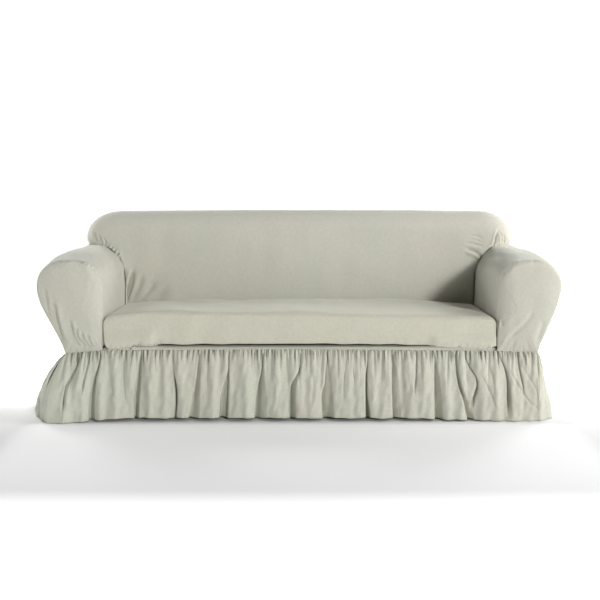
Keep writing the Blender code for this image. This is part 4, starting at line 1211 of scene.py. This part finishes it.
def skirt_gathers(s, t):
    """Relief of the small gathers, deepest just under the seam."""
    relief = np.zeros_like(s)
    for centre, lean, reach, half, deep in GATHERS:
        strength = deep * (1 - math.exp(-t / 0.012)) * math.exp(-((t / reach) ** 2))
        if strength < 2e-5:
            continue
        away = around(s, centre + lean * t)
        close = np.abs(away) < 0.03
        wide = half * (1 + 2.0 * t)
        relief[close] -= strength * np.exp(-((np.abs(away[close]) / wide) ** 1.3))
    return relief


def skirt_stand(side, s, t, fold, round_off):
    """How far the skirt stands out from its seam at this share of its drop."""
    start = min(t / SKIRT_SETTLE, 1.0)
    deep = (SKIRT_TOP_DEPTH + (SKIRT_HEM_DEPTH - SKIRT_TOP_DEPTH) * t) * start
    kick = SKIRT_KICK + (1 - SKIRT_KICK) * ease((0.50 - np.abs(around(s, -0.25))) / 0.22)
    stand = flare_at(s) * (kick * math.sin(t * math.pi / 2) + (1 - kick) * t)
    stand += 0.015 * (kick - SKIRT_KICK) / (1 - SKIRT_KICK) * math.sin(math.pi * t)
    stand += deep * (FOLD_MIDDLE - FOLD_FALL * fold - 0.20 * round_off)
    stand += 0.0030 * (1 - math.exp(-t / 0.015)) + skirt_gathers(s, t)
    soft = ripples(s, t * SKIRT_DROP, (0.0045, 0.075, 93, 4.0), (0.0014, 0.035, 94, 2.0))
    stand += min(1.0, t / 0.2) * soft
    creases = SKIRT_CREASES if side == "front" else ()
    for half, depth, points in creases:
        drops, places = smooth_curve(points).T
        share = (t - drops[0]) / (drops[-1] - drops[0])
        if 0 <= share <= 1:
            centre = FRONT_MIDDLE + np.interp(t, drops, places)
            stand -= depth * math.sin(math.pi * share) ** 0.5 * bell(around(s, centre), half)
    return stand


def skirt_row(side, s, t):
    base, out = skirt_path(side, s)
    fold, over, round_off = skirt_fold(s, t)
    along = as_points(-out[:, 1], out[:, 0])
    x, y = (base + out * skirt_stand(side, s, t, fold, round_off)[:, None] + along * over[:, None]).T
    rise, full, still_full, down = HEM_LIFT_X
    lift = ease((x - rise) / (full - rise)) * (1 - ease((x - still_full) / (down - still_full)))
    hem = FLOOR_CLEAR + HEM_LIFT * lift * (y < 0)
    hem += 0.0012 * (1 + wobble(s, t * SKIRT_DROP, 0.09, 95)) * (lift > 0)
    hem = np.maximum(hem - 0.0060 * lift * np.minimum(fold, 1), FLOOR_CLEAR)
    top = seam_z(base[:, 0])
    return as_points(x, y, top + (hem - top) * t)


def skirt_strip(side, columns, rows, flat):
    """One side's strip. Each row is spaced along the cloth itself, so its folds keep their shape."""
    start = side_start(side) - SKIRT_CORNER_RUN / 2
    length = side_length(side) + SKIRT_CORNER_RUN
    s = np.linspace(start, start + length, round(length / SKIRT_STEP))
    grid = []
    for t in np.linspace(0, 1, rows) ** 1.18:
        row = skirt_row(side, s, t)
        at = arc(row) + 0.35 * (s - start)
        spread = np.linspace(0, at[-1], columns)
        grid.append(np.stack([np.interp(spread, at, values) for values in (*row.T, s)], axis=-1))
    grid = np.array(grid)
    add_sheet(f"skirt_{side}", grid[..., :3], "skirt_cloth",
              across_cloth=grid[..., 3])


# Whole cover -----------------------------------------------------------------------------------

inside_back()
outside_back()
for hand in SIDE_NAMES:
    inside_arm(hand)
    outside_arm(hand)
    arm_front(hand)
seat_deck()
seat_cover_top()
seat_cover_boxing()
for name, strip in SKIRT_STRIPS.items():
    skirt_strip(name, *strip)

# Studio ----------------------------------------------------------------------------------------

WHITE = (1.0, 1.0, 1.0, 1.0)
FLOOR_REACH = 60.0
# How bright the white floor shines of itself, by y: as white as the backdrop behind the cover and
# well before it, and a light grey between
FLOOR_GLOW = ((-2.40, 1.0), (-1.80, 1.0), (-1.48, 0.0), (-0.30, 0.0), (0.02, 1.0), (0.50, 1.0))
FLOOR_FILL = 0.19
# The floor is dark under the cover: its glow starts between these distances from the middle
GLOW_FROM = {"X": (1.06, 1.22), "Y": (0.52, 0.60)}
LAMPS = (  # name, kind, power, place, aim, and the disk's size or the sun's angle
    ("key", "SUN", 1.73, (2.0, -4.8, 1.588), (0, 0, 0), math.radians(7)),
    ("right_high", "AREA", 52, (3.4, -1.2, 2.8), (0, 0, 0.4), 2.2),
    ("right_side", "AREA", 36, (3.2, -0.4, 1.6), (0, 0, 0.45), 2.0),
    ("top", "AREA", 8, (0.0, 0.3, 3.6), (0, -0.1, 0.4), 2.5),
    ("left_back", "AREA", 35, (-3.4, 0.5, 1.5), (0, 0, 0.5), 1.6),
    ("rim_right", "AREA", 46, (2.4, 1.8, 1.9), (0.7, 0, 0.6), 1.2),
    ("rim_left", "AREA", 44, (-2.4, 1.8, 1.9), (-0.7, 0, 0.6), 1.2),
)


def placed(name, data, place):
    rig = bpy.data.objects.new(name, data)
    rig.location = place
    bpy.context.scene.collection.objects.link(rig)
    return rig


def floor():
    """A white floor that runs out into the white of the backdrop, dark under the cover."""
    mesh = bpy.data.meshes.new("floor")
    corners = ((-1, -1), (1, -1), (1, 1), (-1, 1))
    mesh.from_pydata([(x * FLOOR_REACH, y * FLOOR_REACH, 0) for x, y in corners], [], [(0, 1, 2, 3)])
    material, shade, shader = new_material("floor_white")
    place = shade.add("SeparateXYZ", Vector=shade.add("TexCoord").outputs["Object"]).outputs
    near, far = FLOOR_GLOW[0][0], FLOOR_GLOW[-1][0]
    ramp = shade.add("ValToRGB", Fac=shade.ranged(place["Y"], near, far))
    ramp.color_ramp.interpolation = "B_SPLINE"
    stops = ramp.color_ramp.elements
    while len(stops) < len(FLOOR_GLOW):
        stops.new(0.5)
    for stop, (y, level) in zip(stops, FLOOR_GLOW):
        stop.position = (y - near) / (far - near)
        stop.color = (level, level, level, 1.0)
    beside, before = (shade.ranged(shade.combined("ABSOLUTE", place[axis]), *span, kind="SMOOTHSTEP")
                      for axis, span in GLOW_FROM.items())
    ahead = shade.ranged(shade.combined("SUBTRACT", before, beside), 0.0, 1.0)
    fill = shade.combined("MULTIPLY", ahead, FLOOR_FILL)
    clear = shade.combined("MAXIMUM", beside, before)
    glow = shade.combined("MAXIMUM", shade.combined("MULTIPLY", ramp.outputs["Color"], clear), fill)
    shade.feed(shader, Base_Color=(0.84, 0.84, 0.845, 1.0), Roughness=0.75, Specular_IOR_Level=0.2,
               Emission_Color=WHITE, Emission_Strength=glow)
    mesh.materials.append(material)
    placed("studio_floor", mesh, (0, 0, 0))


def lamp(name, kind, power, place, aim, size):
    light = bpy.data.lights.new(name, kind)
    light.energy = power
    if kind == "SUN":
        light.angle = size
    else:
        light.shape = "DISK"
        light.size = size
    rig = placed(name, light, place)
    rig.rotation_euler = (Vector(aim) - Vector(place)).to_track_quat("-Z", "Y").to_euler()


def backdrop():
    """A world that the camera sees as white and that gives no light."""
    world = bpy.data.worlds.new("studio")
    bpy.context.scene.world = world
    world.use_nodes = True
    shade, nodes = Shading(world.node_tree), world.node_tree.nodes
    shade.feed(nodes["Background"], Strength=0.0)
    seen = shade.add("Background", Color=WHITE, Strength=1.05)
    either = shade.add("MixShader", shade.add("LightPath").outputs["Is Camera Ray"],
                       nodes["Background"].outputs["Background"], seen.outputs["Background"])
    shade.feed(nodes["World Output"], Surface=either.outputs["Shader"])


def camera():
    lens = bpy.data.cameras.new("camera")
    lens.lens = 66.72
    lens.sensor_width = 36.0
    rig = placed("camera", lens, (0.004, -5.09, 1.098))
    rig.rotation_euler = (math.radians(82.738), 0, 0)
    bpy.context.scene.camera = rig


floor()
backdrop()
for values in LAMPS:
    lamp(*values)
bpy.context.scene.view_settings.view_transform = "Standard"
camera()
bpy.context.view_layer.update()
